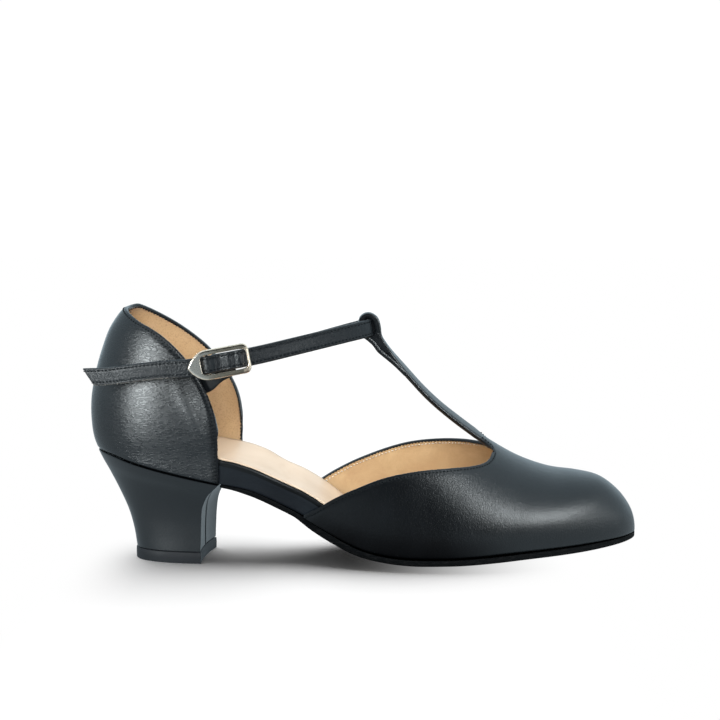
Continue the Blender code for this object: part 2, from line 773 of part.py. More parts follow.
def rounded_outline(grow):
    """Buckle outline: square front with eased corners, and a pointed back."""
    front = BUCKLE_LENGTH / 2 + grow
    half = BUCKLE_WIDTH / 2 + grow
    points = []
    for share in shares(6):
        angle = share * math.pi / 2
        ahead = front - CORNER_RUN * (1 - math.sin(angle))
        points.append((ahead, half - CORNER_RISE * (1 - math.cos(angle))))
    lower = [(ahead, -high) for ahead, high in reversed(points)]
    tail = []
    start = POINT_LENGTH - BUCKLE_LENGTH / 2
    for share in shares(8)[1:]:
        tail.append((start - (POINT_LENGTH + grow) * share, -half * (1 - share * share)))
    upper = [(ahead, -high) for ahead, high in reversed(tail[:-1])]
    return points + lower + tail + upper


def window_outline():
    """Window points, each on a ray toward an outline point."""
    middle = (WINDOW_BACK + WINDOW_FRONT) / 2
    reach = (WINDOW_FRONT - WINDOW_BACK) / 2
    points = []
    for ahead, high in rounded_outline(0.0):
        share = max(abs(ahead - middle) / reach, abs(high) / WINDOW_HALF)
        points.append((middle + (ahead - middle) / share, high / share))
    return points


def make_buckle():
    low = STRAP_THICK / 2 + GAP
    loops = [
        (rounded_outline(-0.5), low), (rounded_outline(0.0), low + 0.5),
        (rounded_outline(-0.1), low + 0.9),
        (rounded_outline(-0.9), low + BUCKLE_PLATE + BUCKLE_DOME),
        (window_outline(), low + BUCKLE_PLATE), (window_outline(), low)]
    rows = []
    for loop, out in loops:
        ring = [in_buckle(ahead, high, out) for ahead, high in loop]
        rows.append(ring + ring[:1])
    bm = bmesh.new()
    add_patch(bm, rows + rows[:1])
    frame = add_object("buckle", bm, SILVER, 0.18, 1.0)
    half = BUCKLE_WIDTH / 2 - 1.2
    deep = BAR_DEEP - BUCKLE_BAR / 2
    line = [(-half, low + 0.7), (-half, deep), (half, deep), (half, low + 0.7)]
    rings = []
    for index, (high, out) in enumerate(line):
        bend = BUCKLE_BAR / 2
        inside = bend if index in (0, 1) else -bend
        lift = bend if index in (1, 2) else 0.0
        ring = []
        for wide, side in ((bend, 1), (-bend, 1), (-bend, -1), (bend, -1)):
            ring.append(in_buckle(BAR_PLACE + wide, high + side * inside, out + side * lift))
        rings.append(ring + ring[:1])
    staple = add_loft("buckle_staple", rings, SILVER, 0.18, 1.0)
    staple.hide_render = True
    staple.display_type = "WIRE"
    join = frame.modifiers.new("staple", "BOOLEAN")
    join.operation = "UNION"
    join.object = staple
    join.solver = "EXACT"


def make_tab():
    points = [inside_counter(-1, hold, TAB_THICK / 2 + TAB_EASE) for hold in TAB_HOLD]
    points.append(Vector(TAB_TURN))
    deep = BAR_DEEP - BUCKLE_BAR - GAP - TAB_THICK / 2
    points.append(in_buckle(1.5, -3.2, deep))
    points.append(in_buckle(5.5, -1.4, deep))
    rows = [Place(*point) for point in points]
    last = len(rows) - 1
    line = [Vector(blend(rows, last * share)) for share in shares(last * STRAP_STEPS)]
    rings = []
    for index, middle in enumerate(line):
        run = (line[min(index + 1, len(line) - 1)] - line[max(index - 1, 0)]).normalized()
        rings.append(band_ring(middle, run, Vector((0, 0, 1)), TAB_WIDTH, TAB_THICK))
    add_loft("buckle_tab", rings, STRAP_BLACK, 0.45)


remove_all()
make_bottom()
make_heel()
make_vamp()
make_counter()
make_strap()
make_buckle()
make_tab()
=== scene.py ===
"""Looks of the ballroom dance shoe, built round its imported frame.

Sizes are in millimetres, as in the shoe's own tables, and become metres when a mesh is made.
+X points to the toe, +Y to the inner side of the foot and +Z up; the floor is z = 0.
"""
from collections import namedtuple
import math

import bmesh
import bpy
from mathutils import Matrix, Vector
from mathutils.bvhtree import BVHTree
from mathutils.kdtree import KDTree

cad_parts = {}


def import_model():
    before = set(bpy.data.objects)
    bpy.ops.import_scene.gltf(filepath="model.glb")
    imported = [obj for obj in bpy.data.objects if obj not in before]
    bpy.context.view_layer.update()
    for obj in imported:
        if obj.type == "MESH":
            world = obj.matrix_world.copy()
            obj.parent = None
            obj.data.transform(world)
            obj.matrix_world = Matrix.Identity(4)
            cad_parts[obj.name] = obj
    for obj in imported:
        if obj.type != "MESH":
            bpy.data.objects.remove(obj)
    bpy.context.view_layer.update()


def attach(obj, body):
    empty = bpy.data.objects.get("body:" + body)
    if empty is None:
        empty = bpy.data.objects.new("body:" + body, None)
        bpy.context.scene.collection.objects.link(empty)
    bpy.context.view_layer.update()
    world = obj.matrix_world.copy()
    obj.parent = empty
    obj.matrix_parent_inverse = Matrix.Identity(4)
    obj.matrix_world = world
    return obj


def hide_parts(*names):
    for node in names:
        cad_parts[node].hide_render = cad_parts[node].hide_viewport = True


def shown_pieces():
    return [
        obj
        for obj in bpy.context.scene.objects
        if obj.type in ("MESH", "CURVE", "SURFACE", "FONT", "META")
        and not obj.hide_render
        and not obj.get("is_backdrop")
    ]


MM = 0.001
BODY = "root"

# Sizes shared with the frame
SHOE_LENGTH = 240.0
GAP = 0.3
VAMP_WALL = 1.8
COUNTER_WALL = 2.2
BOARD_INSET = 2.7
SOCK = 1.2
SOCK_INSET = 3.5
HEEL_TURN = math.radians(6.0)
HEEL_BACK_X = -SHOE_LENGTH / 2
HEEL_BACK_Y = 4.5
COUNTER_REACH = 61.0
SEAT_ROUND = 2.6
LIFT = 5.0
LIFT_PROUD = 0.3
THROAT_X = 55.2
BAR_HALF = 4.6
BAR_FILLET = 6.0
BAR_CROWN = 0.3
BAR_ROLL = 1.3
BAR_Y = 0.4
LEAN_TOP = 98.0
LEAN_FADE = 14.0
FOLD_START = 1.5
FOLD_LENGTH = 17.0
FOLD_UNDER = 5.2          # from the bar's face down to the folded end, near the loop
FOLD_TIP = 2.2
FILLET_RUN = 7.5
STRAP_WIDTH = 7.6
STRAP_THICK = 1.8
STRAP_LEAN = -0.14
BUCKLE_LENGTH = 26.3
BUCKLE_WIDTH = 12.6
BUCKLE_PLATE = 1.5
CORNER_RUN = 2.6
CORNER_RISE = 3.4
POINT_LENGTH = 8.6
WINDOW_BACK = -7.4
WINDOW_FRONT = 11.9
WINDOW_HALF = 4.2
RIM_ROUND = 0.9           # radius of the buckle's outer edge
WINDOW_ROUND = 0.3        # and of its window's edge
WINDOW_POWER = 7.0        # how square the window is
BUCKLE_BAR = 1.4
BAR_PLACE = -4.6
BAR_SHORT = 1.2
BAR_DEEP = 0.3 - STRAP_THICK / 2 - GAP
TAB_WIDTH = 7.0
TAB_THICK = 1.2
TAIL_SLANT = 2.4
STRAP_EASE = 0.8
TAB_EASE = 0.6

# Mesh density
TOE_ROWS = 40
WING_ROWS = 46
WING_COLUMNS = 20
BAR_COLUMNS = 6
BAR_ROWS = 96
BAR_STEPS = 14
FILLET_STEPS = 6
TOE_SPLIT = 0.26
COUNTER_COLUMNS = 34
COUNTER_ROWS = 30
HEEL_ROWS = 44
HEEL_COLUMNS = 30
BREAST_COLUMNS = 28
BED_STEPS = 5
STRAP_STEPS = 14


def table(kind, *rows):
    return [kind(*row) for row in rows]


Section = namedtuple(
    "Section", "x ridge_y lateral medial feather rise tuck belly fullness")
SECTIONS = table(
    Section,
    (-30.0, 1.5, 25.1, 19.0, 24.2, 68.0, 0.4, 10.0, 2.00),
    (-16.0, 1.5, 27.5, 20.9, 15.8, 72.0, 1.2, 10.0, 2.00),
    (-2.0, 1.5, 30.7, 24.3, 9.1, 75.0, 2.0, 10.0, 1.95),
    (12.0, 1.5, 33.5, 28.9, 6.3, 73.5, 2.8, 10.0, 1.88),
    (26.0, 1.5, 35.3, 32.5, 5.9, 66.0, 3.2, 10.0, 1.80),
    (40.0, 1.6, 36.0, 34.4, 6.3, 55.7, 3.2, 9.5, 1.72),
    (54.0, 2.0, 35.3, 34.0, 7.2, 45.2, 3.0, 9.0, 1.68),
    (68.0, 2.5, 33.1, 31.7, 8.2, 36.2, 2.6, 8.5, 1.76),
    (82.0, 2.9, 29.8, 28.3, 9.0, 30.4, 2.2, 8.0, 1.95),
    (94.0, 3.0, 25.4, 24.2, 9.7, 28.0, 1.8, 7.5, 2.10),
    (104.0, 3.0, 20.4, 19.6, 10.3, 25.0, 1.3, 6.5, 2.20),
    (111.5, 3.0, 15.4, 15.0, 10.8, 19.2, 0.9, 5.0, 2.20),
    (116.5, 3.0, 10.0, 9.9, 11.2, 12.6, 0.5, 3.0, 2.15),
    (119.1, 3.0, 4.9, 4.9, 11.4, 6.6, 0.2, 1.2, 2.10),
    (119.9, 3.0, 0.0, 0.0, 11.5, 0.0, 0.0, 0.0, 2.10),
)
TOE_GUIDE = SECTIONS[-2]._replace(
    lateral=-SECTIONS[-2].lateral, medial=-SECTIONS[-2].medial, rise=-SECTIONS[-2].rise,
    tuck=-SECTIONS[-2].tuck, belly=-SECTIONS[-2].belly)

Edge = namedtuple("Edge", "x z")
LATERAL_EDGE = table(
    Edge,
    (-26.6, 22.8), (-21.0, 25.9), (-13.0, 31.0), (-4.0, 35.5),
    (8.0, 40.4), (22.0, 43.3), (36.0, 44.2), (46.0, 44.5),
    (52.2, 45.6), (THROAT_X, 48.6), (52.2, 51.0),
)
MEDIAL_EDGE = table(
    Edge,
    (-29.0, 25.7), (-23.0, 29.0), (-15.0, 34.0), (-5.0, 38.9),
    (7.0, 43.3), (20.0, 46.9), (34.0, 48.9), (45.0, 49.6),
    (51.8, 49.4), (THROAT_X, 49.3), (51.8, 51.6),
)
T_BAR = table(
    Edge,
    (51.7, 53.9), (46.5, 57.6), (40.4, 62.2), (33.3, 67.9), (26.4, 74.4),
    (20.0, 81.4), (15.0, 87.2), (10.6, 92.7), (7.7, 97.6), (7.1, 102.2),
    (5.6, 106.2), (1.6, 108.3), (-2.3, 106.5), (-3.4, 101.6), (-2.0, 97.9),
    (0.6, 96.2), (3.2, 94.2),
)
FOLD_TOP = Edge(8.6, 96.5)

Level = namedtuple("Level", "z back half")
COUNTER = table(
    Level,
    (34.0, 6.2, 23.8), (42.0, 4.4, 24.1), (48.0, 3.0, 24.5),
    (54.0, 0.9, 25.3), (62.0, 0.0, 25.9), (70.0, 0.1, 26.0),
    (78.0, 1.3, 25.4), (86.0, 3.2, 24.3), (94.0, 5.7, 22.7),
    (101.0, 8.4, 20.8), (107.0, 12.2, 18.4), (112.0, 16.4, 15.8),
)
Run = namedtuple("Run", "ahead z")
COLLAR = table(
    Run,
    (10.0, 112.4), (16.0, 111.2), (20.0, 109.4), (28.0, 104.8), (35.0, 100.2),
    (41.0, 95.5), (46.8, 90.0), (52.4, 82.6), (56.8, 75.0), (59.8, 66.4),
    (61.0, 57.0), (61.4, 50.0),
)
COLLAR_LOW = 45.0
COLLAR_HIGH = 112.0
SEAT_MIDDLE = 44.0
SEAT = table(
    Run,
    (0.0, 48.9), (6.0, 48.2), (13.0, 46.8), (22.0, 44.2), (33.0, 41.6),
    (44.0, 39.3), (55.0, 37.2), (62.0, 35.9),
)
Bed = namedtuple("Bed", "x crown cant stack sole lip")
BED = table(
    Bed,
    (-124.0, 0.0, 0.0, 10.5, 0.7, -1.6), (-64.0, 0.0, 1.6, 11.1, 0.7, -1.6),
    (-48.0, 0.6, 1.8, 10.4, 1.8, -1.6), (-38.0, 1.0, 1.8, 10.2, 2.2, -1.5),
    (-30.0, 1.2, 2.7, 10.5, 2.3, -1.3), (-25.0, 1.4, 2.7, 10.8, 3.3, -0.9),
    (-18.0, 1.8, 2.2, 10.7, 3.3, -0.5), (-8.0, 2.3, 1.2, 9.0, 3.0, 0.0),
    (6.0, 3.1, 0.8, 6.2, 2.4, 0.3), (20.0, 3.8, 0.2, 4.8, 2.4, 0.4),
    (34.0, 4.0, 0.0, 4.6, 2.4, 0.4), (48.0, 3.7, 0.0, 4.6, 2.4, 0.4),
    (70.0, 2.9, 0.0, 4.6, 2.4, 0.3), (95.0, 2.0, 0.0, 4.6, 2.4, 0.1),
    (112.0, 0.9, 0.0, 4.6, 2.0, 0.0), (124.0, 0.0, 0.0, 4.6, 1.9, -0.1),
)
Rung = namedtuple("Rung", "drop back front half hollow")
HEEL = table(
    Rung,
    (0.00, 2.9, 60.7, 24.4, 0.0), (0.10, 5.1, 57.9, 22.4, 0.6),
    (0.22, 8.0, 54.8, 19.6, 1.2), (0.40, 12.0, 52.2, 17.1, 1.5),
    (0.60, 15.8, 51.4, 15.8, 1.5), (0.80, 18.1, 51.1, 15.4, 1.5),
    (1.00, 19.4, 50.8, 15.4, 1.2),
)
Place = namedtuple("Place", "x y z")
STRAP_INNER = table(
    Place,
    (-47.0, 20.9, 88.0), (-38.0, 21.2, 90.1), (-27.0, 19.4, 92.8),
    (-11.0, 13.2, 97.6), (0.2, 6.6, 100.9), (2.9, 0.0, 101.5),
)
STRAP_OUTER = table(
    Place,
    (0.2, -6.6, 101.0), (-10.7, -14.0, 98.8), (-27.4, -22.0, 95.2),
    (-40.0, -26.2, 92.4),
)
BUCKLE_BACK = Place(-73.6, -30.2, 86.1)
BUCKLE_FRONT = Place(-48.0, -28.6, 90.8)
Weave = namedtuple("Weave", "along out")
STRAP_IN_BUCKLE = table(
    Weave,
    (13.4, -0.1), (10.6, 0.1), (8.6, 0.75), (6.6, 0.25), (4.2, 0.85),
    (1.4, -0.3), (-1.6, -0.3), (-4.4, 1.25), (-7.2, 0.1), (-9.4, -0.15),
    (-12.4, -0.2),
)
STRAP_TAIL = table(
    Place,
    (-77.0, -29.6, 85.9), (-88.0, -28.2, 85.0), (-101.0, -25.8, 83.2),
    (-109.0, -23.5, 82.1), (-116.6, -21.2, 81.6),
)
STRAP_HOLD = table(Run, (43.5, 82.0), (48.0, 83.0), (52.4, 84.1), (56.6, 85.4))
TAB_HOLD = table(Run, (47.0, 76.4), (52.6, 77.8), (56.6, 79.2))
TAB_OUT = table(Place, (-61.6, -24.8, 82.8), (-57.2, -26.0, 85.0), (-54.6, -26.4, 86.2))
TAB_SPREAD = 0.85         # the tab narrows behind the buckle

# Folded edges and seams, by distance from the edge
VAMP_FOLD = 0.65          # black leather turned over the vamp's lining
COUNTER_FOLD = 0.45       # over the counter's lining at its front edges
COLLAR_FOLD = 1.25        # and at its collar
LINING_STEP = 0.3         # how far the lining lies below the turned edge
STEP_WIDE = 0.5
VAMP_CURL = 0.35          # how far the edges bend in
COLLAR_CURL = 0.35
FRONT_CURL = 0.9          # at the counter's front edges
FRONT_CURL_TOP = 88.0     # height where the front edges' curl begins
FRONT_CURL_FADE = 12.0
CURL_WIDE = 3.0
VAMP_SEAM = 0.12          # depth of the sewn grooves
COUNTER_SEAM = 0.30
SEAM_WIDE = 0.6
STITCH_INSET = 1.5
STITCH_PITCH = 1.55
STITCH_LONG = 1.0
STITCH_THICK = 0.5
LINING_INSET = 2.1        # the pale row on the vamp's lining
COUNTER_ROW = 0.95        # the black row on the counter's lining
STRAP_SEAM = 1.3          # from the strap's edges
STRAP_PITCH = 1.7
BAND_ROUND = 0.42         # radius of a band's edges, as a share of its thickness
GROOVE_DEEP = 0.16
GROOVE_WIDE = 0.32
ROLL = 1.45               # radius of the rolled edge along the board's top
ROLL_BACK = 0.8           # its middle lies this far inside the board's face
INNER_RISE = 1.4          # the collar stands higher on the inner side
INNER_REACH = 1.3         # and the counter reaches further forward there
COLLAR_DIP = 1.2          # low place of the outer collar, near the back
COLLAR_DIP_AT = 24.0
COLLAR_DIP_WIDE = 8.0
COLLAR_BACK = 0.35        # angle from the back seam where the two sides begin to differ
SEAM_GROOVE = 0.8         # where the heel's cover meets at the breast
SEAM_HALF = 0.55
BAR_CURL = 0.5            # rounded long edges of the T-bar
BAR_CURL_WIDE = 1.6
BAR_PAD = 0.05            # the T-bar's face, measured from its solid
LOOP_PAD = -0.2
BAR_WALL = 2.0
LOOP_WALL = 3.4
LOOP_FOOT = 95.0          # height where the loop's thick wall begins
LOOP_CROWN = 103.5        # and where it closes over the strap
LOOP_TUCK = 4.2           # half width of the end tucked into the loop
TUCK_BEVEL = 0.35

# Camera of the photograph
LENS = 63.84
SENSOR = 36.0
CAMERA_DISTANCE = 0.56
CAMERA_AIM = Vector((-0.0022, 0.0, 0.087))
CAMERA_RISE = math.radians(4.9)


def catmull(before, start, end, after, share):
    """A smooth value between start and end, or a row of them."""
    squared = share * share
    cubed = squared * share
    return [
        0.5 * (2 * b + (c - a) * share + (2 * a - 5 * b + 4 * c - d) * squared
               + (3 * b - a - 3 * c + d) * cubed)
        for a, b, c, d in zip(before, start, end, after)
    ]


def blend(rows, place, first=None, last=None):
    """The row at a place counted in rows, with optional guide rows past either end."""
    index = min(max(int(math.floor(place)), 0), len(rows) - 2)
    before = rows[index - 1] if index > 0 else first
    after = rows[index + 2] if index + 2 < len(rows) else last
    if before is None:
        before = [2 * b - c for b, c in zip(rows[index], rows[index + 1])]
    if after is None:
        after = [2 * c - b for b, c in zip(rows[index], rows[index + 1])]
    values = catmull(before, rows[index], rows[index + 1], after, place - index)
    return type(rows[0])(*values)


def halve(low, high, steps, below):
    """Where a test stops holding between two values, by halving."""
    for step in range(steps):
        middle = (low + high) / 2
        if below(middle):
            low = middle
        else:
            high = middle
    return (low + high) / 2


def find(rows, value, last=None):
    """The place where the rising first column reaches a value."""
    return halve(
        0.0, len(rows) - 1.0, 30, lambda place: blend(rows, place, last=last)[0] < value)


def lookup(rows, value):
    return blend(rows, find(rows, value))


def shares(count):
    return [step / count for step in range(count + 1)]


def limit(value):
    return min(max(value, 0.0), 1.0)


def section_at(place):
    return blend(SECTIONS, place, last=TOE_GUIDE)


def half_section(row, side):
    """Outside of the upper on one side, from the ridge down to the feather line."""
    reach = row.lateral if side < 0 else row.medial
    wide = reach + row.tuck
    power = 2 / row.fullness
    points = []
    for share in shares(64):
        angle = share * math.pi / 2
        across = wide * math.sin(angle) ** power
        up = row.belly + (row.rise - row.belly) * max(math.cos(angle), 0.0) ** power
        points.append(Vector((row.x, row.ridge_y + side * across, row.feather + up)))
    for share in shares(14)[1:]:
        across = wide - row.tuck * share * share
        up = row.belly * (1 - share)
        points.append(Vector((row.x, row.ridge_y + side * across, row.feather + up)))
    return points


def lengths(points):
    total = [0.0]
    for one, two in zip(points, points[1:]):
        total.append(total[-1] + (two - one).length)
    return total


def along_all(points, places):
    """The points at several shares of a line's length."""
    total = lengths(points)
    found = []
    for share in places:
        aim = share * total[-1]
        index = 0
        while index < len(points) - 2 and total[index + 1] < aim:
            index += 1
        step = total[index + 1] - total[index]
        part = limit((aim - total[index]) / step) if step > 0 else 0.0
        found.append(points[index].lerp(points[index + 1], part))
    return found


def share_at_height(points, z):
    """How far down a half section a height is reached."""
    total = lengths(points)
    for index in range(len(points) - 1):
        if points[index + 1].z <= z:
            step = points[index].z - points[index + 1].z
            part = (points[index].z - z) / step if step > 0 else 0.0
            reach = total[index] + max(part, 0.0) * (total[index + 1] - total[index])
            return reach / total[-1]
    return 1.0


def heel_place(ahead, across, z):
    """A point given along and across the heel's own axis."""
    turn = Vector((math.cos(HEEL_TURN), -math.sin(HEEL_TURN), 0.0))
    side = Vector((math.sin(HEEL_TURN), math.cos(HEEL_TURN), 0.0))
    return Vector((HEEL_BACK_X, HEEL_BACK_Y, z)) + turn * ahead + side * across


def round_end(angle):
    """Forward and sideways shares of a rounded heel, back to side."""
    power = 2 / SEAT_ROUND
    forward = 1 - max(math.cos(angle), 0.0) ** power
    return forward, math.sin(angle) ** power


def counter_ahead(angle, z):
    level = lookup(COUNTER, z)
    forward, sideways = round_end(angle)
    return level.back + (COUNTER_REACH - level.back) * forward, level.half * sideways


def counter_place(side, angle, z):
    ahead, across = counter_ahead(angle, z)
    return heel_place(ahead, side * across, z)


def counter_angle_at(ahead, z):
    """The angle round the counter that lies a distance ahead of the heel curve."""
    back = lookup(COUNTER, z).back
    left = 1 - (ahead - back) / (COUNTER_REACH - back)
    return math.acos(left ** (SEAT_ROUND / 2))


def inside_counter(side, hold, half):
    """A point inside the counter's wall, clear of it by half a strap."""
    angle = counter_angle_at(hold.ahead, hold.z)
    wall = counter_place(side, angle, hold.z)
    run = (wall - counter_place(side, angle - 0.02, hold.z)).normalized()
    return wall + Vector((run.y, -run.x, 0.0)) * (side * (COUNTER_WALL + GAP + half))


def collar_height(angle):
    return halve(
        COLLAR_LOW, COLLAR_HIGH, 26,
        lambda z: lookup(COLLAR, counter_ahead(angle, z)[0]).z > z)


def seat_height(angle):
    z = SEAT_MIDDLE
    for step in range(12):
        z = lookup(SEAT, counter_ahead(angle, z)[0]).z
    return z


Rib = namedtuple("Rib", "out_x out_y in_x in_y feather crown cant stack sole lip")


def make_rib(outer, inner, feather):
    bed = lookup(BED, (outer.x + inner.x) / 2)
    return Rib(outer.x, outer.y, inner.x, inner.y, feather, *bed[1:])


def bottom_ribs():
    """Ribs of the bottom, heel to toe: the feather line's outer and inner points."""
    ribs = []
    for degrees in (0.0, 22.0, 42.0, 58.0, 70.0, 79.0, 85.5, 90.0):
        angle = math.radians(degrees)
        z = seat_height(angle)
        ribs.append(make_rib(counter_place(-1, angle, z), counter_place(1, angle, z), z))
    ribs.append(make_rib(Vector((-47.5, -24.6, 0)), Vector((-43.9, 20.9, 0)), 32.7))
    for row in SECTIONS:
        outer = Vector((row.x, row.ridge_y - row.lateral, 0.0))
        inner = Vector((row.x, row.ridge_y + row.medial, 0.0))
        ribs.append(make_rib(outer, inner, row.feather))
    return ribs


def mirrored(rib):
    return rib._replace(out_x=rib.in_x, out_y=rib.in_y, in_x=rib.out_x, in_y=rib.out_y)


HEEL_RIBS = 8
HEEL_END = 0.15
WAIST_STEPS = (5, 5, 5, 5, 3, 2)    # ribs in each span from the heel's front to the ball


def waist_ribs(ribs):
    """More ribs from the heel's front to the ball, each with its own row of the bed."""
    first = HEEL_RIBS - 1
    waist = []
    for span, steps in enumerate(WAIST_STEPS):
        for share in shares(steps)[:-1]:
            rib = blend(ribs, first + span + share)
            outer = Vector((rib.out_x, rib.out_y, 0.0))
            waist.append(make_rib(outer, Vector((rib.in_x, rib.in_y, 0.0)), rib.feather))
    return ribs[:first] + waist + ribs[first + len(WAIST_STEPS):]


RIBS = waist_ribs(bottom_ribs())


def rib_at(place):
    return blend(RIBS, place, first=mirrored(RIBS[1]), last=mirrored(RIBS[-2]))


def rib_edge(place, side, out):
    """A point of the feather line, moved out from the foot."""
    def point(where):
        rib = rib_at(where)
        return Vector((rib.out_x, rib.out_y)) if side < 0 else Vector((rib.in_x, rib.in_y))
    last = len(RIBS) - 1.0
    run = (point(min(place + 0.02, last)) - point(max(place - 0.02, 0.0))).normalized()
    return point(place) + Vector((run.y, -run.x)) * (-side * out)


def sag(rib, across):
    return rib.feather - rib.crown * (1 - across * across)


def bed_top(rib, across):
    return rib.feather + rib.stack + rib.cant * (across + 1) / 2 - 0.8 * (1 - across * across)


# Mesh making

def add_patch(bm, rows):
    """A grid of faces through rows of points."""
    wide = len(rows[0])
    made = bmesh.ops.create_grid(
        bm, x_segments=wide - 1, y_segments=len(rows) - 1, size=1.0)
    for index, vert in enumerate(made["verts"]):
        vert.co = rows[index // wide][index % wide] * MM
    return made["verts"]


def weld(bm, closed=True):
    bmesh.ops.remove_doubles(bm, verts=bm.verts, dist=0.00002)
    loose = [edge for edge in bm.edges if edge.is_boundary]
    if closed and loose:
        bmesh.ops.holes_fill(bm, edges=loose, sides=0)
    if closed:
        bmesh.ops.recalc_face_normals(bm, faces=bm.faces)
        if bm.calc_volume(signed=True) < 0:
            bmesh.ops.reverse_faces(bm, faces=bm.faces)


def sharpen(bm, degrees=34.0):
    """Keep hard corners hard under smooth shading."""
    for edge in bm.edges:
        edge.smooth = len(edge.link_faces) == 2 and edge.calc_face_angle() < math.radians(degrees)


def add_piece(name, bm, finishes, slot, *nodes):
    """A finished mesh as a piece that rides the shoe and stands for its solids."""
    mesh = bpy.data.meshes.new(name)
    bm.to_mesh(mesh)
    bm.free()
    mesh.shade_smooth()
    for finish in finishes:
        mesh.materials.append(finish)
    piece = bpy.data.objects.new(name, mesh)
    bpy.context.scene.collection.objects.link(piece)
    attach(piece, BODY)
    if nodes:
        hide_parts(*nodes)
    return piece


def refine(piece, levels):
    smooth = piece.modifiers.new("smooth", "SUBSURF")
    smooth.levels = levels
    smooth.render_levels = levels


def measure_edges(bm, line):
    """Store each vertex's distance from an edge line, and how far along it lies, in mm."""
    from_edge = bm.verts.layers.float.new("from_edge")
    edge_run = bm.verts.layers.float.new("edge_run")
    total = lengths(line)
    fine = int(total[-1] / 0.4)
    points = along_all(line, shares(fine))
    tree = KDTree(len(points))
    for index, point in enumerate(points):
        tree.insert(point, index)
    tree.balance()
    for vert in bm.verts:
        near, index, distance = tree.find(vert.co / MM)
        vert[from_edge] = distance
        vert[edge_run] = total[-1] * index / fine


def relief(distance, deep, curl):
    """How far a folded and sewn edge dips in, by distance from the edge."""
    near = (distance - STITCH_INSET) / SEAM_WIDE
    bend = max(1 - distance / CURL_WIDE, 0.0)
    return deep * math.exp(-near * near) + curl * bend * bend


def add_wall(piece, thickest, wall_at):
    """Give a surface its wall, inward: leather outside, lining inside and a folded edge."""
    group = piece.vertex_groups.new(name="wall")
    values = piece.data.attributes["from_edge"].data
    for index, value in enumerate(values):
        wall = wall_at(piece.data.vertices[index].co / MM, value.value, index)
        group.add([index], wall / thickest, "REPLACE")
    modifier = piece.modifiers.new("wall", "SOLIDIFY")
    modifier.thickness = thickest * MM
    modifier.offset = -1.0
    modifier.use_even_offset = True
    modifier.use_quality_normals = True
    modifier.vertex_group = "wall"
    modifier.material_offset = 1
    modifier.material_offset_rim = 0


def seam_along(tree, line, inset):
    """Points a fixed distance in from an edge, on the sheet, with their normals, in metres."""
    steps = int(lengths(line)[-1])
    line = along_all(line, shares(steps))
    seam = []
    for index, point in enumerate(line):
        run = (line[min(index + 1, steps)] - line[max(index - 1, 0)]).normalized()
        face = tree.find_nearest(point * MM)[1]
        inward = run.cross(face).normalized() * inset
        tries = [tree.find_nearest((point + way) * MM) for way in (inward, -inward)]
        spot, normal, face_index, gap = min(tries, key=lambda found: found[3])
        seam.append((spot, normal))
    return seam


def lining_seam(seam, wall):
    """A sewn row as it shows on the lining, behind the wall."""
    through = (wall - LINING_STEP) * MM
    return [(spot - normal * through, -normal) for spot, normal in seam]


def add_stitches(name, seams, finish, slot, pitch=STITCH_PITCH, long=STITCH_LONG,
                 thick=STITCH_THICK, sink=-0.08):
    """Rows of thread, one small rounded bar for each stitch."""
    bm = bmesh.new()
    for seam in seams:
        total = lengths([spot / MM for spot, normal in seam])
        aim = pitch / 2
        index = 0
        while aim < total[-1]:
            while total[index + 1] < aim:
                index += 1
            part = (aim - total[index]) / (total[index + 1] - total[index])
            spot = seam[index][0].lerp(seam[index + 1][0], part)
            up = seam[index][1].lerp(seam[index + 1][1], part).normalized()
            run = (seam[index + 1][0] - seam[index][0]).normalized()
            side = up.cross(run).normalized()
            up = run.cross(side)
            turn = Matrix((run, side, up)).transposed().to_4x4()
            size = Matrix.Diagonal((long * MM / 2, thick * MM / 2, thick * MM / 2, 1.0))
            place = Matrix.Translation(spot - up * sink * MM) @ turn @ size
            bmesh.ops.create_uvsphere(bm, u_segments=8, v_segments=6, radius=1.0, matrix=place)
            aim += pitch
    add_piece(name, bm, [finish], slot)


# Upper: closed toe, side wings and T-bar

def wing_spread():
    """Shares from the topline to the feather line, closer together at the folded edge."""
    return [share ** 1.35 for share in shares(WING_COLUMNS)]


def vamp_row(place, outer_split, inner_split):
    """A whole cross row of the toe: outer wing, middle, inner wing."""
    row = section_at(place)
    wing = wing_spread()
    bar = shares(BAR_COLUMNS)[1:]
    outer = [outer_split + share * (1 - outer_split) for share in reversed(wing)]
    outer += [outer_split * (1 - share) for share in bar]
    inner = [inner_split * share for share in bar]
    inner += [inner_split + share * (1 - inner_split) for share in wing[1:]]
    return along_all(half_section(row, -1), outer) + along_all(half_section(row, 1), inner)


def wing_rows(first_row, edge, side):
    """Rows of one side wing, from the throat back to the shank."""
    rows = [first_row]
    last = len(edge) - 2.0
    for share in shares(WING_ROWS)[1:]:
        top = blend(edge[:-1], last * (1 - share ** 1.25), last=edge[-1])
        curve = half_section(section_at(find(SECTIONS, top.x, last=TOE_GUIDE)), side)
        start = share_at_height(curve, top.z)
        points = along_all(curve, [start + part * (1 - start) for part in wing_spread()])
        rows.append(points[::-1] if side < 0 else points)
    return rows


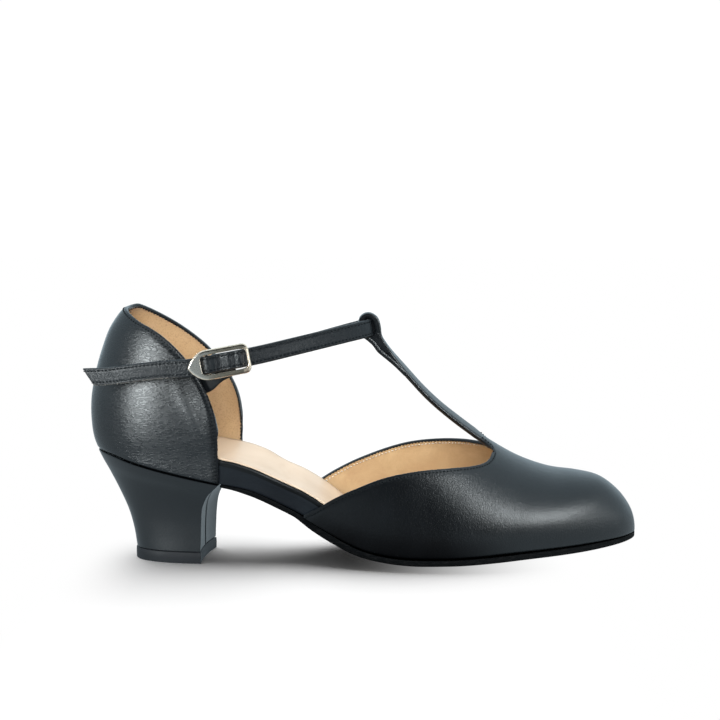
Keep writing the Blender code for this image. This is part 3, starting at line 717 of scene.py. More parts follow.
def bar_path():
    """Side view of the T-bar's outer face, throat to the folded end."""
    throat = section_at(find(SECTIONS, THROAT_X, last=TOE_GUIDE))
    line = [Edge(THROAT_X, throat.feather + throat.rise)] + T_BAR
    smooth = []
    for index in range((len(line) - 1) * BAR_STEPS + 1):
        at = blend(line, index / BAR_STEPS)
        smooth.append(Vector((at.x, 0.0, at.z)))
    climb = [point for point in smooth if point.x > FOLD_TOP.x and point.z < FOLD_TOP.z]
    climb.reverse()
    total = lengths(climb)
    for index in range(len(climb) - 1):
        if FOLD_START < total[index] < FOLD_LENGTH:
            run = (climb[index + 1] - climb[index]).normalized()
            out = Vector((-run.z, 0.0, run.x))
            share = (total[index] - FOLD_START) / (FOLD_LENGTH - FOLD_START)
            under = FOLD_TIP + (FOLD_UNDER - FOLD_TIP) * (1 - share) ** 2
            smooth.append(climb[index] - out * under)
    return smooth


def bar_rows(first_row):
    """Rows of the T-bar, from the throat's fillets to the folded end."""
    path = bar_path()
    total = lengths(path)[-1]
    half = len(first_row) // 2
    middle = first_row[half]
    outer = first_row[0]
    inner = first_row[-1]
    stops = []
    for step in range(1, FILLET_STEPS + 1):
        turn = 1 - math.cos(step / FILLET_STEPS * math.pi / 2)
        stops.append(turn * FILLET_RUN / total)
    stops += [stops[-1] + (1 - stops[-1]) * share for share in shares(BAR_ROWS)[1:]]
    rows = [first_row]
    for at in along_all(path, stops):
        near = limit(1 - (THROAT_X - at.x) / BAR_FILLET)
        flare = 1 - math.sqrt(1 - near * near)
        upright = limit((LEAN_TOP - at.z) / LEAN_FADE) * (1 - near)
        row = []
        for index in range(len(first_row)):
            part = (index - half) / half
            edge = outer if part < 0 else inner
            reach = BAR_HALF + (abs(edge.y - middle.y) - BAR_HALF) * flare
            fall = (BAR_CROWN + (middle.z - edge.z - BAR_CROWN) * near * near) * part * part
            across = BAR_Y + (middle.y - BAR_Y) * near + part * reach
            row.append(Vector((at.x, across, at.z - fall + BAR_ROLL * part * upright)))
        rows.append(row)
    return rows


# Soft creases: a line in side view, its width and depth (a ridge is negative)
Crease = namedtuple("Crease", "side x z to_x to_z wide deep")
COUNTER_CREASES = table(
    Crease,
    (-1, -80.0, 82.0, -65.0, 50.0, 3.0, -0.6),
    (1, -66.0, 84.0, -60.0, 48.0, 3.4, -0.5),
)
VAMP_CREASES = table(
    Crease,
    (-1, 72.0, 30.0, 67.0, 14.0, 4.5, -0.2),
    (-1, 20.0, 36.0, 32.0, 15.0, 7.0, 0.25),
    (1, 30.0, 40.0, 44.0, 14.0, 7.0, 0.30),
    (1, 58.0, 44.0, 70.0, 18.0, 6.0, 0.30),
)


def crease_depth(point, creases):
    deep = 0.0
    for crease in creases:
        if (point.y - BAR_Y) * crease.side <= 0:
            continue
        start = Vector((crease.x, crease.z))
        run = Vector((crease.to_x, crease.to_z)) - start
        place = Vector((point.x, point.z)) - start
        share = place.dot(run) / run.length_squared
        if 0 < share < 1:
            off = (place - run * share).length / crease.wide
            deep += crease.deep * math.exp(-off * off) * math.sin(math.pi * share)
    return deep


def bar_pad(point):
    """How far the T-bar's face stands over its solid."""
    loop = limit((point.z - LOOP_FOOT) / 4)
    return (BAR_PAD + (LOOP_PAD - BAR_PAD) * loop) * limit((THROAT_X - 3 - point.x) / 7)


def make_vamp(leather, lining):
    """Toe, wings and T-bar in one sheet with its wall; gives back the rows to be sewn."""
    throat = find(SECTIONS, THROAT_X, last=TOE_GUIDE)
    throat_row = section_at(throat)
    outer_split = share_at_height(half_section(throat_row, -1), LATERAL_EDGE[-2].z)
    inner_split = share_at_height(half_section(throat_row, 1), MEDIAL_EDGE[-2].z)
    tip = len(SECTIONS) - 1.0
    rows = []
    for share in shares(TOE_ROWS):
        place = tip + (throat - tip) * share
        outer = TOE_SPLIT + (outer_split - TOE_SPLIT) * share
        inner = TOE_SPLIT + (inner_split - TOE_SPLIT) * share
        rows.append(vamp_row(place, outer, inner))
    last = rows[-1]
    outer_wing = wing_rows(last[:WING_COLUMNS + 1], LATERAL_EDGE, -1)
    inner_wing = wing_rows(last[-WING_COLUMNS - 1:], MEDIAL_EDGE, 1)
    bar = bar_rows(last[WING_COLUMNS:-WING_COLUMNS])
    bm = bmesh.new()
    on_bar = bm.verts.layers.float.new("on_bar")
    for patch in (rows, outer_wing, inner_wing):
        add_patch(bm, patch)
    for vert in add_patch(bm, bar[1:]):
        vert[on_bar] = 1.0
    add_patch(bm, bar[:2])
    weld(bm, closed=False)
    outer_line = [row[-1] for row in reversed(outer_wing)] + [row[0] for row in bar[1:]]
    inner_line = [row[0] for row in reversed(inner_wing)] + [row[-1] for row in bar[1:]]
    measure_edges(bm, outer_line + inner_line[::-1])
    from_edge = bm.verts.layers.float["from_edge"]
    on_bar = bm.verts.layers.float["on_bar"]
    bm.normal_update()
    for vert in bm.verts:
        point = vert.co / MM
        pad = bar_pad(point) * vert[on_bar]
        edge = relief(vert[from_edge], VAMP_SEAM, VAMP_CURL)
        bar_edge = BAR_CURL * max(1 - vert[from_edge] / BAR_CURL_WIDE, 0.0) ** 2
        edge += (bar_edge - edge) * vert[on_bar]
        deep = crease_depth(point, VAMP_CREASES) + edge - pad
        vert.co -= vert.normal * deep * MM
    tree = BVHTree.FromBMesh(bm)
    topline = WING_ROWS + FILLET_STEPS
    lines = (outer_line[:topline], inner_line[:topline])
    seams = [seam_along(tree, line, STITCH_INSET) for line in lines]
    pale_rows = [seam_along(tree, line[:WING_ROWS - 1], LINING_INSET) for line in lines]
    pale_seams = [lining_seam(row, VAMP_WALL) for row in pale_rows]
    bar_flags = [vert[on_bar] for vert in bm.verts]
    piece = add_piece("vamp_upper", bm, [leather, lining], "vamp_leather", "vamp")

    def wall_at(point, distance, index):
        if bar_flags[index] > 0.5:
            loop = limit((point.z - LOOP_FOOT) / 3)
            inward = max(limit((point.x - 3.0) / 2), limit((point.z - LOOP_CROWN) / 2))
            return BAR_WALL + (LOOP_WALL - BAR_WALL) * loop * inward
        return VAMP_WALL - LINING_STEP * limit((distance - VAMP_FOLD) / STEP_WIDE)

    add_wall(piece, LOOP_WALL, wall_at)
    refine(piece, 1)
    return seams, pale_seams


# End of the T-bar, tucked into the foot of its loop: corners in side view
LOOP_CORNERS = table(
    Edge,
    (0.6, 96.6), (3.4, 98.2), (4.6, 99.6), (6.2, 99.0), (9.2, 94.2),
    (11.6, 90.9), (10.2, 89.8), (6.2, 92.2), (3.6, 94.6),
)


def make_loop_tuck(leather):
    bm = bmesh.new()
    outer = (BAR_Y - LOOP_TUCK) * MM
    corners = [bm.verts.new((at.x * MM, outer, at.z * MM)) for at in LOOP_CORNERS]
    face = bm.faces.new(corners)
    made = bmesh.ops.extrude_face_region(bm, geom=[face])
    far = [item for item in made["geom"] if isinstance(item, bmesh.types.BMVert)]
    bmesh.ops.translate(bm, verts=far, vec=(0.0, 2 * LOOP_TUCK * MM, 0.0))
    bmesh.ops.recalc_face_normals(bm, faces=bm.faces)
    bmesh.ops.bevel(
        bm, geom=bm.edges[:], offset=TUCK_BEVEL * MM, affect="EDGES", segments=3, profile=0.5,
        material=-1)
    add_piece("loop_tuck", bm, [leather], "vamp_leather")


# Counter

def counter_angle(share):
    """Columns crowd toward the counter's steep front edges."""
    return math.pi / 2 * (1 - (1 - share) ** 1.7)


def make_counter(leather, lining):
    """Closed back part, open at the collar; gives back the rows to be sewn."""
    columns = [counter_angle(share) for share in shares(COUNTER_COLUMNS)]
    heights = [(collar_height(angle), seat_height(angle)) for angle in columns]
    rows = []
    for share in shares(COUNTER_ROWS):
        down = share ** 1.25
        outer = []
        inner = []
        for angle, (top, seat) in zip(columns, heights):
            dip = (counter_ahead(angle, top)[0] - COLLAR_DIP_AT) / COLLAR_DIP_WIDE
            low = top - COLLAR_DIP * math.exp(-dip * dip) * limit(angle / COLLAR_BACK)
            outer.append(counter_place(-1, angle, low + (seat - low) * down))
            high = top + INNER_RISE * limit(angle / COLLAR_BACK)
            ahead, across = counter_ahead(angle, high + (seat - high) * down)
            ahead += INNER_REACH * (ahead / COUNTER_REACH) ** 4
            inner.append(heel_place(ahead, across, high + (seat - high) * down))
        rows.append(outer[::-1] + inner[1:])
    bm = bmesh.new()
    add_patch(bm, rows)
    weld(bm, closed=False)
    outer_front = [row[0] for row in reversed(rows)]
    inner_front = [row[-1] for row in rows]
    line = outer_front + rows[0][1:-1] + inner_front
    measure_edges(bm, line)
    from_edge = bm.verts.layers.float["from_edge"]
    bm.normal_update()
    for vert in bm.verts:
        deep = crease_depth(vert.co / MM, COUNTER_CREASES)
        low = limit((FRONT_CURL_TOP - vert.co.z / MM) / FRONT_CURL_FADE)
        curl = COLLAR_CURL + (FRONT_CURL - COLLAR_CURL) * low
        deep += relief(vert[from_edge], COUNTER_SEAM, curl)
        vert.co -= vert.normal * deep * MM
    sheet = BVHTree.FromBMesh(bm)
    seam = seam_along(sheet, line, STITCH_INSET)
    lining_row = lining_seam(seam_along(sheet, line, COUNTER_ROW), COUNTER_WALL)
    piece = add_piece("counter_upper", bm, [leather, lining], "counter_leather", "counter")

    def wall_at(point, distance, index):
        return COUNTER_WALL - LINING_STEP * limit((distance - COUNTER_FOLD) / STEP_WIDE)

    add_wall(piece, COUNTER_WALL, wall_at)
    refine(piece, 1)
    return seam, lining_row


# Bottom: sole, covered board and sock

def bottom_ring(place, out, ring):
    """One closed cross ring of a bottom piece; ring(rib) lists (across, z, out)."""
    rib = rib_at(place)
    outer = rib_edge(place, -1, out(rib))
    inner = rib_edge(place, 1, out(rib))
    run = (inner - outer).normalized()
    points = []
    for across, z, more in ring(rib):
        flat = outer.lerp(inner, (across + 1) / 2)
        flat += run * math.copysign(more, across)
        points.append(Vector((flat.x, flat.y, z)))
    return points + points[:1]


def bottom_places(start):
    last = len(RIBS) - 1 - 0.12
    steps = int((last - start) * BED_STEPS)
    return [start + (last - start) * share for share in shares(steps)]


def spread(count):
    """Places across the bottom, outer to inner side."""
    return [2 * share - 1 for share in shares(count)]


def sole_ring(rib):
    """Rounded tread edge, slightly proud in the middle of its thickness."""
    across = spread(16)
    top = [(at, sag(rib, at) - GAP, 0.0) for at in across]
    under = [(at, max(z - rib.sole, 0.0), 0.0) for at, z, more in reversed(top)]
    thick = sag(rib, 1.0) - GAP
    low = max(thick - rib.sole, 0.0)
    inner = [(1.0, thick - 0.25, 0.12), (1.0, (thick + low) / 2, 0.18), (1.0, low + 0.3, 0.08)]
    outer = [(-1.0, z, more) for at, z, more in reversed(inner)]
    return top + inner + under + outer


def board_ring(rib):
    """Covered board: flat side below, rolled edge above."""
    under = [(at, sag(rib, at), 0.0) for at in spread(8)]
    lid = [(at, bed_top(rib, at) - SOCK - GAP, 0.0) for at in reversed(spread(8)[1:-1])]

    def side(top, foot):
        middle = top - ROLL
        rim = middle - ROLL
        points = [(1.0, foot + 0.15, -0.1)]
        points += [(1.0, foot + (rim - foot) * share, 0.0) for share in (0.2, 0.5, 0.8)]
        points.append((1.0, rim - 0.1, -0.45))
        for share in shares(10):
            angle = math.radians(-52.0 + 150.0 * share)
            out = 0.25 + ROLL * math.cos(angle) - ROLL_BACK
            points.append((1.0, middle + ROLL * math.sin(angle), out))
        return points

    inner = side(bed_top(rib, 1.0) - 0.35, sag(rib, 1.0))
    outer = side(bed_top(rib, -1.0) - 0.35, sag(rib, -1.0))
    outer = [(-at, z, more) for at, z, more in reversed(outer)]
    return under + inner + lid + outer


def sock_ring(rib):
    top = [(at, bed_top(rib, at), 0.0) for at in reversed(spread(18))]
    under = [(at, bed_top(rib, at) - SOCK, 0.0) for at in spread(6)]
    rim = bed_top(rib, 1.0)
    inner = [(1.0, rim - SOCK * 0.7, 0.12), (1.0, rim - SOCK * 0.25, 0.1)]
    rim = bed_top(rib, -1.0)
    outer = [(-1.0, rim - SOCK * 0.25, 0.1), (-1.0, rim - SOCK * 0.7, 0.12)]
    return under + inner + top + outer


BOARD_ROLL_SHADE = range(14, 43)    # the roll's and lid's points in a ring of the board, painted near black as shade


def make_bottom(name, finish, slot, node, start, out, ring, roll=()):
    bm = bmesh.new()
    roll_painted_shade = bm.verts.layers.float.new("roll_painted_shade")
    rings = [bottom_ring(place, out, ring) for place in bottom_places(start)]
    # the points listed in roll carry the painted shade mark
    for index, vert in enumerate(add_patch(bm, rings)):
        vert[roll_painted_shade] = float(index % len(rings[0]) in roll)
    weld(bm)
    add_piece(name, bm, [finish], slot, node)


# Heel

def heel_outline(rung, grow, seam):
    """Heel ring in its own axes: outer breast corner, round the back, and across the breast."""
    points = []
    angles = [math.pi / 2 * share for share in shares(HEEL_COLUMNS)]
    for side in (-1, 1):
        for angle in (reversed(angles) if side < 0 else angles[1:]):
            forward, sideways = round_end(angle)
            ahead = rung.back - grow + (rung.front - rung.back + 2 * grow) * forward
            points.append((ahead, side * (rung.half + grow) * sideways))
    for step in shares(BREAST_COLUMNS)[1:-1]:
        share = 1 - 2 * step
        across = share * (rung.half + grow)
        hollow = rung.hollow * (1 - share * share)
        hollow += seam * max(1 - abs(across) / SEAM_HALF, 0.0)
        points.append((rung.front + grow - hollow, across))
    return points + points[:1]


# Rounded top rim of the heel: share of the drop and growth; the rest follows the rungs
HEEL_RIM = [(0.0, -0.35), (0.004, -0.12), (0.011, -0.03)]
# Walking piece, top to floor: height and growth past the heel's foot
LIFT_LEVELS = (
    (LIFT, -0.3), (LIFT - 0.15, 0.1), (LIFT - 0.5, LIFT_PROUD), (LIFT / 2, LIFT_PROUD + 0.05),
    (1.0, LIFT_PROUD), (0.25, LIFT_PROUD - 0.05), (0.05, LIFT_PROUD - 0.25), (0.0, -0.6))


def add_rings(name, rings, finish, slot, node):
    """A closed piece through rings, with its corners kept hard."""
    bm = bmesh.new()
    add_patch(bm, rings)
    weld(bm)
    sharpen(bm)
    add_piece(name, bm, [finish], slot, node)


def make_heel(leather, rubber):
    """Flared cover with a seam down its breast, and the walking piece under it."""
    rings = []
    levels = HEEL_RIM + [(0.02 + 0.98 * step ** 1.2, 0.0) for step in shares(HEEL_ROWS)]
    for drop, grow in levels:
        rung = lookup(HEEL, drop)
        ring = []
        for ahead, across in heel_outline(rung, grow, SEAM_GROOVE):
            seat = lookup(SEAT, ahead).z - GAP
            ring.append(heel_place(ahead, across, seat + (LIFT + GAP - seat) * drop))
        rings.append(ring)
    add_rings("heel_cover", rings, leather, "heel_leather", "heel")
    rings = []
    for z, grow in LIFT_LEVELS:
        rings.append([heel_place(*at, z) for at in heel_outline(HEEL[-1], grow, 0.0)])
    add_rings("heel_lift", rings, rubber, "tip_rubber", "heel_tip")


# Strap, buckle and tab

def buckle_axes():
    front = Vector(BUCKLE_FRONT)
    back = Vector(BUCKLE_BACK)
    run = (front - back).normalized()
    up = Vector((0.0, 0.0, 1.0))
    up = (up - run * run.dot(up)).normalized()
    return (front + back) / 2, run, up, up.cross(-run)


def in_buckle(ahead, up, out):
    middle, run, rise, face = buckle_axes()
    return middle + run * ahead + rise * up + face * out


def smooth_line(points):
    rows = [Place(*point) for point in points]
    last = len(rows) - 1
    return [Vector(blend(rows, last * share)) for share in shares(last * STRAP_STEPS)]


def strap_line():
    """Middle of the ankle strap, inner end to loose tail."""
    points = []
    for hold in STRAP_HOLD:
        points.append(inside_counter(1, hold, STRAP_THICK / 2 + STRAP_EASE))
    points += [Vector(place) for place in STRAP_INNER + STRAP_OUTER]
    points += [in_buckle(weave.along, 0.0, weave.out) for weave in STRAP_IN_BUCKLE]
    points += [Vector(place) for place in STRAP_TAIL]
    return smooth_line(points)


def band_profile(wide, thick, seam):
    """Cross ring of a flat band: round edges, and a sewn groove near each edge outside."""
    radius = thick * BAND_ROUND

    def face(high):
        over = max(abs(high) - (wide / 2 - radius), 0.0)
        return thick / 2 - radius + math.sqrt(max(radius * radius - over * over, 0.0))

    ring = []
    for high in reversed(spread(24)):
        near = (abs(high) * wide / 2 - (wide / 2 - seam)) / GROOVE_WIDE
        groove = GROOVE_DEEP * math.exp(-near * near) if seam else 0.0
        ring.append((high * wide / 2, face(high * wide / 2) - groove))
    ring += [(high * wide / 2, -face(high * wide / 2)) for high in spread(12)]
    return ring + ring[:1]


def band_frames(line, up):
    """Middle, run, rise and face at each point of a band's line."""
    frames = []
    for index, middle in enumerate(line):
        run = (line[min(index + 1, len(line) - 1)] - line[max(index - 1, 0)]).normalized()
        rise = (up - run * run.dot(up)).normalized()
        frames.append((middle, run, rise, rise.cross(run)))
    return frames


def make_band(name, frames, profile, slants, finish, slot, node):
    bm = bmesh.new()
    along = bm.verts.layers.float.new("along")
    across = bm.verts.layers.float.new("across")
    total = lengths([frame[0] for frame in frames])
    rings = []
    for (middle, run, rise, face), slant in zip(frames, slants):
        ring = []
        for high, out in profile:
            ring.append(middle + rise * high + face * out + run * slant * high)
        rings.append(ring)
    for index, vert in enumerate(add_patch(bm, rings)):
        vert[along] = total[-1] - total[index // len(profile)]
        vert[across] = profile[index % len(profile)][0]
    weld(bm)
    sharpen(bm, 50.0)
    add_piece(name, bm, [finish], slot, node)


def make_strap(leather, thread):
    frames = band_frames(strap_line(), Vector((STRAP_LEAN, 0.0, 1.0)))
    count = len(frames)
    slants = []
    for index in range(count):
        near_end = limit(1 - (count - 1 - index) / (2 * STRAP_STEPS))
        slants.append(TAIL_SLANT / (STRAP_WIDTH / 2) * near_end)
    profile = band_profile(STRAP_WIDTH, STRAP_THICK, STRAP_SEAM)
    make_band("strap", frames, profile, slants, leather, "strap_leather", "ankle_strap")
    seams = []
    for side in (-1, 1):
        seam = []
        for (middle, run, rise, face), slant in zip(frames, slants):
            high = side * (STRAP_WIDTH / 2 - STRAP_SEAM)
            spot = middle + rise * high + face * (STRAP_THICK / 2 - 0.14) + run * slant * high
            seam.append((spot * MM, face))
        seams.append(seam)
    add_stitches(
        "strap_stitches", seams, thread, "strap_leather", pitch=STRAP_PITCH, long=1.25, thick=0.34)


def make_tab(leather):
    points = [inside_counter(-1, hold, TAB_THICK / 2 + TAB_EASE) for hold in TAB_HOLD]
    points += [Vector(place) for place in TAB_OUT]
    frames = band_frames(smooth_line(points), Vector((0.0, 0.0, 1.0)))
    count = len(frames) - 1
    frames = [
        (middle, run, rise * (1 + (TAB_SPREAD - 1) * limit(2 * index / count - 0.6)), face)
        for index, (middle, run, rise, face) in enumerate(frames)]
    profile = band_profile(TAB_WIDTH, TAB_THICK, 0.0)
    slants = [0.0] * len(frames)
    make_band("tab", frames, profile, slants, leather, "tab_leather", "buckle_tab")


def buckle_outline():
    """Half outline of the buckle, upper side, front to point."""
    front = BUCKLE_LENGTH / 2
    half = BUCKLE_WIDTH / 2
    points = []
    for share in shares(12):
        angle = math.pi / 2 * (1 - share)
        ahead = front - CORNER_RUN * (1 - math.sin(angle))
        points.append(Vector((ahead, half - CORNER_RISE * (1 - math.cos(angle)))))
    start = POINT_LENGTH - front
    for share in shares(24)[1:]:
        points.append(Vector((start - POINT_LENGTH * share, half * (1 - share * share) ** 0.85)))
    return points


def ray_reach(outline, middle, angle):
    """How far a ray from the window's middle runs to the buckle's outline."""
    way = Vector((math.cos(angle), math.sin(angle)))
    line = [Vector((outline[0].x, -outline[0].y))] + outline
    for one, two in zip(line, line[1:]):
        side = two - one
        cross = way.x * side.y - way.y * side.x
        if abs(cross) < 1e-9:
            continue
        gap = one - Vector((middle, 0.0))
        reach = (gap.x * side.y - gap.y * side.x) / cross
        part = (gap.x * way.y - gap.y * way.x) / cross
        if reach > 0 and -1e-6 <= part <= 1 + 1e-6:
            return reach
    return POINT_LENGTH - WINDOW_BACK


def make_buckle(metal):
    """Domed frame with a pointed back plate, and the hidden bar behind it."""
    low = STRAP_THICK / 2 + GAP
    middle = (WINDOW_BACK + WINDOW_FRONT) / 2
    wide = (WINDOW_FRONT - WINDOW_BACK) / 2
    outline = buckle_outline()
    rim = along_all([Vector((at.x, abs(at.y))) for at in outline], shares(90))
    spots = []
    for step in range(161):
        angle = 2 * math.pi * step / 160
        upper = abs((angle + math.pi) % (2 * math.pi) - math.pi)
        outer = ray_reach(outline, middle, upper)
        inner = ((abs(math.cos(angle)) / wide) ** WINDOW_POWER
                 + (abs(math.sin(angle)) / WINDOW_HALF) ** WINDOW_POWER) ** (-1 / WINDOW_POWER)
        spots.append((angle, outer, inner))
    rings = []
    from_edges = []

    def edge_fall(off, radius):
        dip = min(max(radius - off, 0.0), radius)
        return radius - math.sqrt(radius * radius - dip * dip)

    def ring(share, height):
        points = []
        for angle, outer, inner in spots:
            reach = outer + (inner - outer) * share
            ahead = middle + reach * math.cos(angle)
            rise = reach * math.sin(angle)
            from_rim = min((spot - Vector((ahead, abs(rise)))).length for spot in rim)
            from_rim = min(from_rim, BUCKLE_LENGTH / 2 - ahead)
            fall = edge_fall(from_rim, RIM_ROUND) + edge_fall(reach - inner, WINDOW_ROUND)
            out = low + (BUCKLE_PLATE - fall if height is None else height)
            points.append(in_buckle(ahead, rise, out))
            from_edges.append((from_rim, reach - inner))
        rings.append(points)

    ring(0.0, 0.0)
    ring(0.0, 0.35)
    for step in shares(16)[1:-1]:
        ring(0.5 - 0.5 * math.cos(step * math.pi), None)
    ring(1.0, 0.35)
    ring(1.0, 0.0)
    bm = bmesh.new()
    from_rim = bm.verts.layers.float.new("from_rim")
    from_window = bm.verts.layers.float.new("from_window")
    plate = add_patch(bm, rings + rings[:1])
    for vert, (rim_gap, window_gap) in zip(plate, from_edges + from_edges[:len(spots)]):
        vert[from_rim] = rim_gap
        vert[from_window] = window_gap
    half = BUCKLE_WIDTH / 2 - BAR_SHORT
    deep = BAR_DEEP - BUCKLE_BAR / 2
    corners = [(-half, low), (-half, deep), (half, deep), (half, low)]
    tube = []
    for index, (high, out) in enumerate(corners):
        ring_points = []
        for step in range(13):
            angle = 2 * math.pi * step / 12
            ahead = BAR_PLACE + BUCKLE_BAR / 2 * math.cos(angle)
            bend = BUCKLE_BAR / 2 * math.sin(angle)
            up = high + (bend if index in (0, 1) else -bend)
            lift = out + (bend if index in (1, 2) else 0.0)
            ring_points.append(in_buckle(ahead, up, lift))
        tube.append(ring_points)
    add_patch(bm, tube)
    weld(bm)
    sharpen(bm, 50.0)
    add_piece("buckle_frame", bm, [metal], "buckle_metal", "buckle")


# Finishes

PER_MM = 1000.0
EVEN = (1.0, 1.0, 1.0)
STRAIGHT = (0.0, 0.0, 0.0)
GRAIN_DEEP = 0.017        # height of the leather's grain
PUCKER_DEEP = 0.05        # height of the puckers between stitches
BLACK = (0.0, 0.0, 0.0, 1.0)
WHITE = (1.0, 1.0, 1.0, 1.0)
LEATHER = (0.0014, 0.0021, 0.0032, 1.0)
LEATHER_PALE = (0.0024, 0.0035, 0.0050, 1.0)
ROOM = (0.78, 0.97, 1.08, 1.0)
TAN = (0.57, 0.38, 0.20, 1.0)
TAN_DARK = (0.36, 0.215, 0.105, 1.0)
TAN_PALE = (0.62, 0.43, 0.25, 1.0)
TAN_SMOOTH = (0.72, 0.52, 0.285, 1.0)
SOCK_BEIGE = (0.62, 0.50, 0.375, 1.0)
SOCK_DARK = (0.50, 0.375, 0.26, 1.0)
STRAP_BLACK = (0.003, 0.004, 0.0055, 1.0)
STRAP_WORN = (0.10, 0.10, 0.10, 1.0)
STRAP_FRAY = (0.34, 0.33, 0.30, 1.0)
THREAD = (0.002, 0.0045, 0.006, 1.0)
THREAD_PALE = (0.85, 0.78, 0.66, 1.0)
RUBBER = (0.006, 0.007, 0.009, 1.0)
RUBBER_PALE = (0.012, 0.013, 0.016, 1.0)
EDGE_BLACK = (0.002, 0.0025, 0.003, 1.0)
EDGE_PALE = (0.010, 0.010, 0.011, 1.0)
SUEDE = (0.33, 0.29, 0.25, 1.0)
SUEDE_DARK = (0.20, 0.175, 0.15, 1.0)
SILVER = (0.56, 0.52, 0.46, 1.0)
# painted shade for the buckle's rails and painted highlight for its edges
SILVER_PAINTED_SHADE = (0.30, 0.255, 0.19, 1.0)
SILVER_PAINTED_HIGHLIGHT = (1.0, 0.80, 0.62, 1.0)
FLOOR_WHITE = (0.93, 0.93, 0.93, 1.0)
FLOOR_BOUNCE = (0.10, 0.10, 0.10, 1.0)
FLOOR_MIRROR = 0.62
AMBIENT = 0.25
BACKDROP = 1.02
BOX_TINT = (0.935, 1.0, 1.015)    # cool studio lamps

# Places where a finish changes, in the shoe's own frame
LINING_PAINTED_SHADE = (32.0, 44.0)       # heights: painted shade darkens the vamp's lining below
FOLD_CHANGE = (76.0, 94.0)        # heights: from the counter's front edge to its collar
SOCK_PAINTED_SHADE = (-64.0, -44.0)       # along the shoe: painted shade darkens the sock toward the heel
BUCKLE_SHADED_RAILS = (-69.0, -60.0)     # along the shoe: from the plate to the rails, with painted shade
BUCKLE_HIGHLIGHT_END = (-50.6, -49.9)       # and to the front bar, with a painted highlight
TAIL_FRAY = (34.0, 44.0)          # along the strap from its loose end


class Look:
    """The nodes of a finish, a group or the world, with a short call for each kind."""

    def __init__(self, tree):
        self.tree = tree

    def node(self, kind, values, **settings):
        """A node whose inputs are linked or set, by name or number."""
        made = self.tree.nodes.new(kind)
        for key, value in settings.items():
            setattr(made, key, value)
        for key, value in values.items():
            self.feed(value, made.inputs[key])
        return made

    def feed(self, source, target):
        """Link an output to a socket, or set the socket's value."""
        if isinstance(source, bpy.types.NodeSocket):
            self.tree.links.new(source, target)
        else:
            target.default_value = source

    def math(self, operation, *values, clamp=False):
        made = self.node(
            "ShaderNodeMath", dict(enumerate(values)), operation=operation, use_clamp=clamp)
        return made.outputs[0]

    def times(self, first, second):
        return self.math("MULTIPLY", first, second)

    def plus(self, first, second):
        return self.math("ADD", first, second)

    def minus(self, first, second):
        return self.math("SUBTRACT", first, second)

    def scaled(self, value, by, base):
        return self.math("MULTIPLY_ADD", value, by, base)

    def off(self, value, middle):
        return self.math("ABSOLUTE", self.minus(value, middle))

    def beat(self, run, pitch):
        """A wave that repeats with the stitches."""
        return self.math("COSINE", self.times(run, 2 * math.pi / pitch))

    def mix(self, share, first, second):
        made = self.node("ShaderNodeMix", {"Factor": share, 6: first, 7: second}, data_type="RGBA")
        return made.outputs[2]

    def ramp(self, value, low, high, to_low=0.0, to_high=1.0):
        values = {
            "Value": value, "From Min": low, "From Max": high, "To Min": to_low, "To Max": to_high}
        made = self.node("ShaderNodeMapRange", values, interpolation_type="SMOOTHSTEP")
        return made.outputs["Result"]

    def space(self, stretch=EVEN, turn=STRAIGHT):
        """Object coordinates in millimetres, stretched and turned for a pattern."""
        where = self.node("ShaderNodeTexCoord", {}).outputs["Object"]
        scale = [PER_MM * part for part in stretch]
        made = self.node("ShaderNodeMapping", {"Vector": where, "Scale": scale, "Rotation": turn})
        return made.outputs["Vector"]

    def noise(self, vector, scale, detail=3.0, rough=0.55, distort=0.0):
        values = {
            "Vector": vector, "Scale": scale, "Detail": detail, "Roughness": rough,
            "Distortion": distort}
        return self.node("ShaderNodeTexNoise", values).outputs["Fac"]

    def attribute(self, name):
        return self.node("ShaderNodeAttribute", {}, attribute_name=name).outputs["Fac"]

    def off_bar(self):
        return self.math("SUBTRACT", 1.0, self.attribute("on_bar"), clamp=True)

    def parts(self, vector):
        return self.node("ShaderNodeSeparateXYZ", {"Vector": vector}).outputs

    def group(self, group, values):
        return self.node("ShaderNodeGroup", values, node_tree=group).outputs

    def bump(self, height, distance, strength, normal=None):
        values = {"Height": height, "Distance": distance * MM, "Strength": strength}
        if normal is not None:
            values["Normal"] = normal
        return self.node("ShaderNodeBump", values).outputs["Normal"]

    def finish(self, colour, rough, normal=None, others=None):
        """Feed the material's shader; the others are further inputs by name."""
        shader = self.tree.nodes["Principled BSDF"]
        values = {"Base Color": colour, "Roughness": rough}
        values.update(others or {})
        if normal is not None:
            values["Normal"] = normal
        for key, value in values.items():
            self.feed(value, shader.inputs[key])


def new_material(name):
    made = bpy.data.materials.new(name)
    made.use_nodes = True
    return made, Look(made.node_tree)


def new_group(name, inputs, outputs):
    """A shader group with named inputs and outputs; all but Vector are single values."""
    tree = bpy.data.node_groups.new(name, "ShaderNodeTree")
    for key in inputs:
        kind = "NodeSocketVector" if key == "Vector" else "NodeSocketFloat"
        tree.interface.new_socket(key, in_out="INPUT", socket_type=kind)
    for key in outputs:
        tree.interface.new_socket(key, in_out="OUTPUT", socket_type="NodeSocketFloat")
    start = tree.nodes.new("NodeGroupInput")
    end = tree.nodes.new("NodeGroupOutput")
    return Look(tree), start.outputs, end.inputs


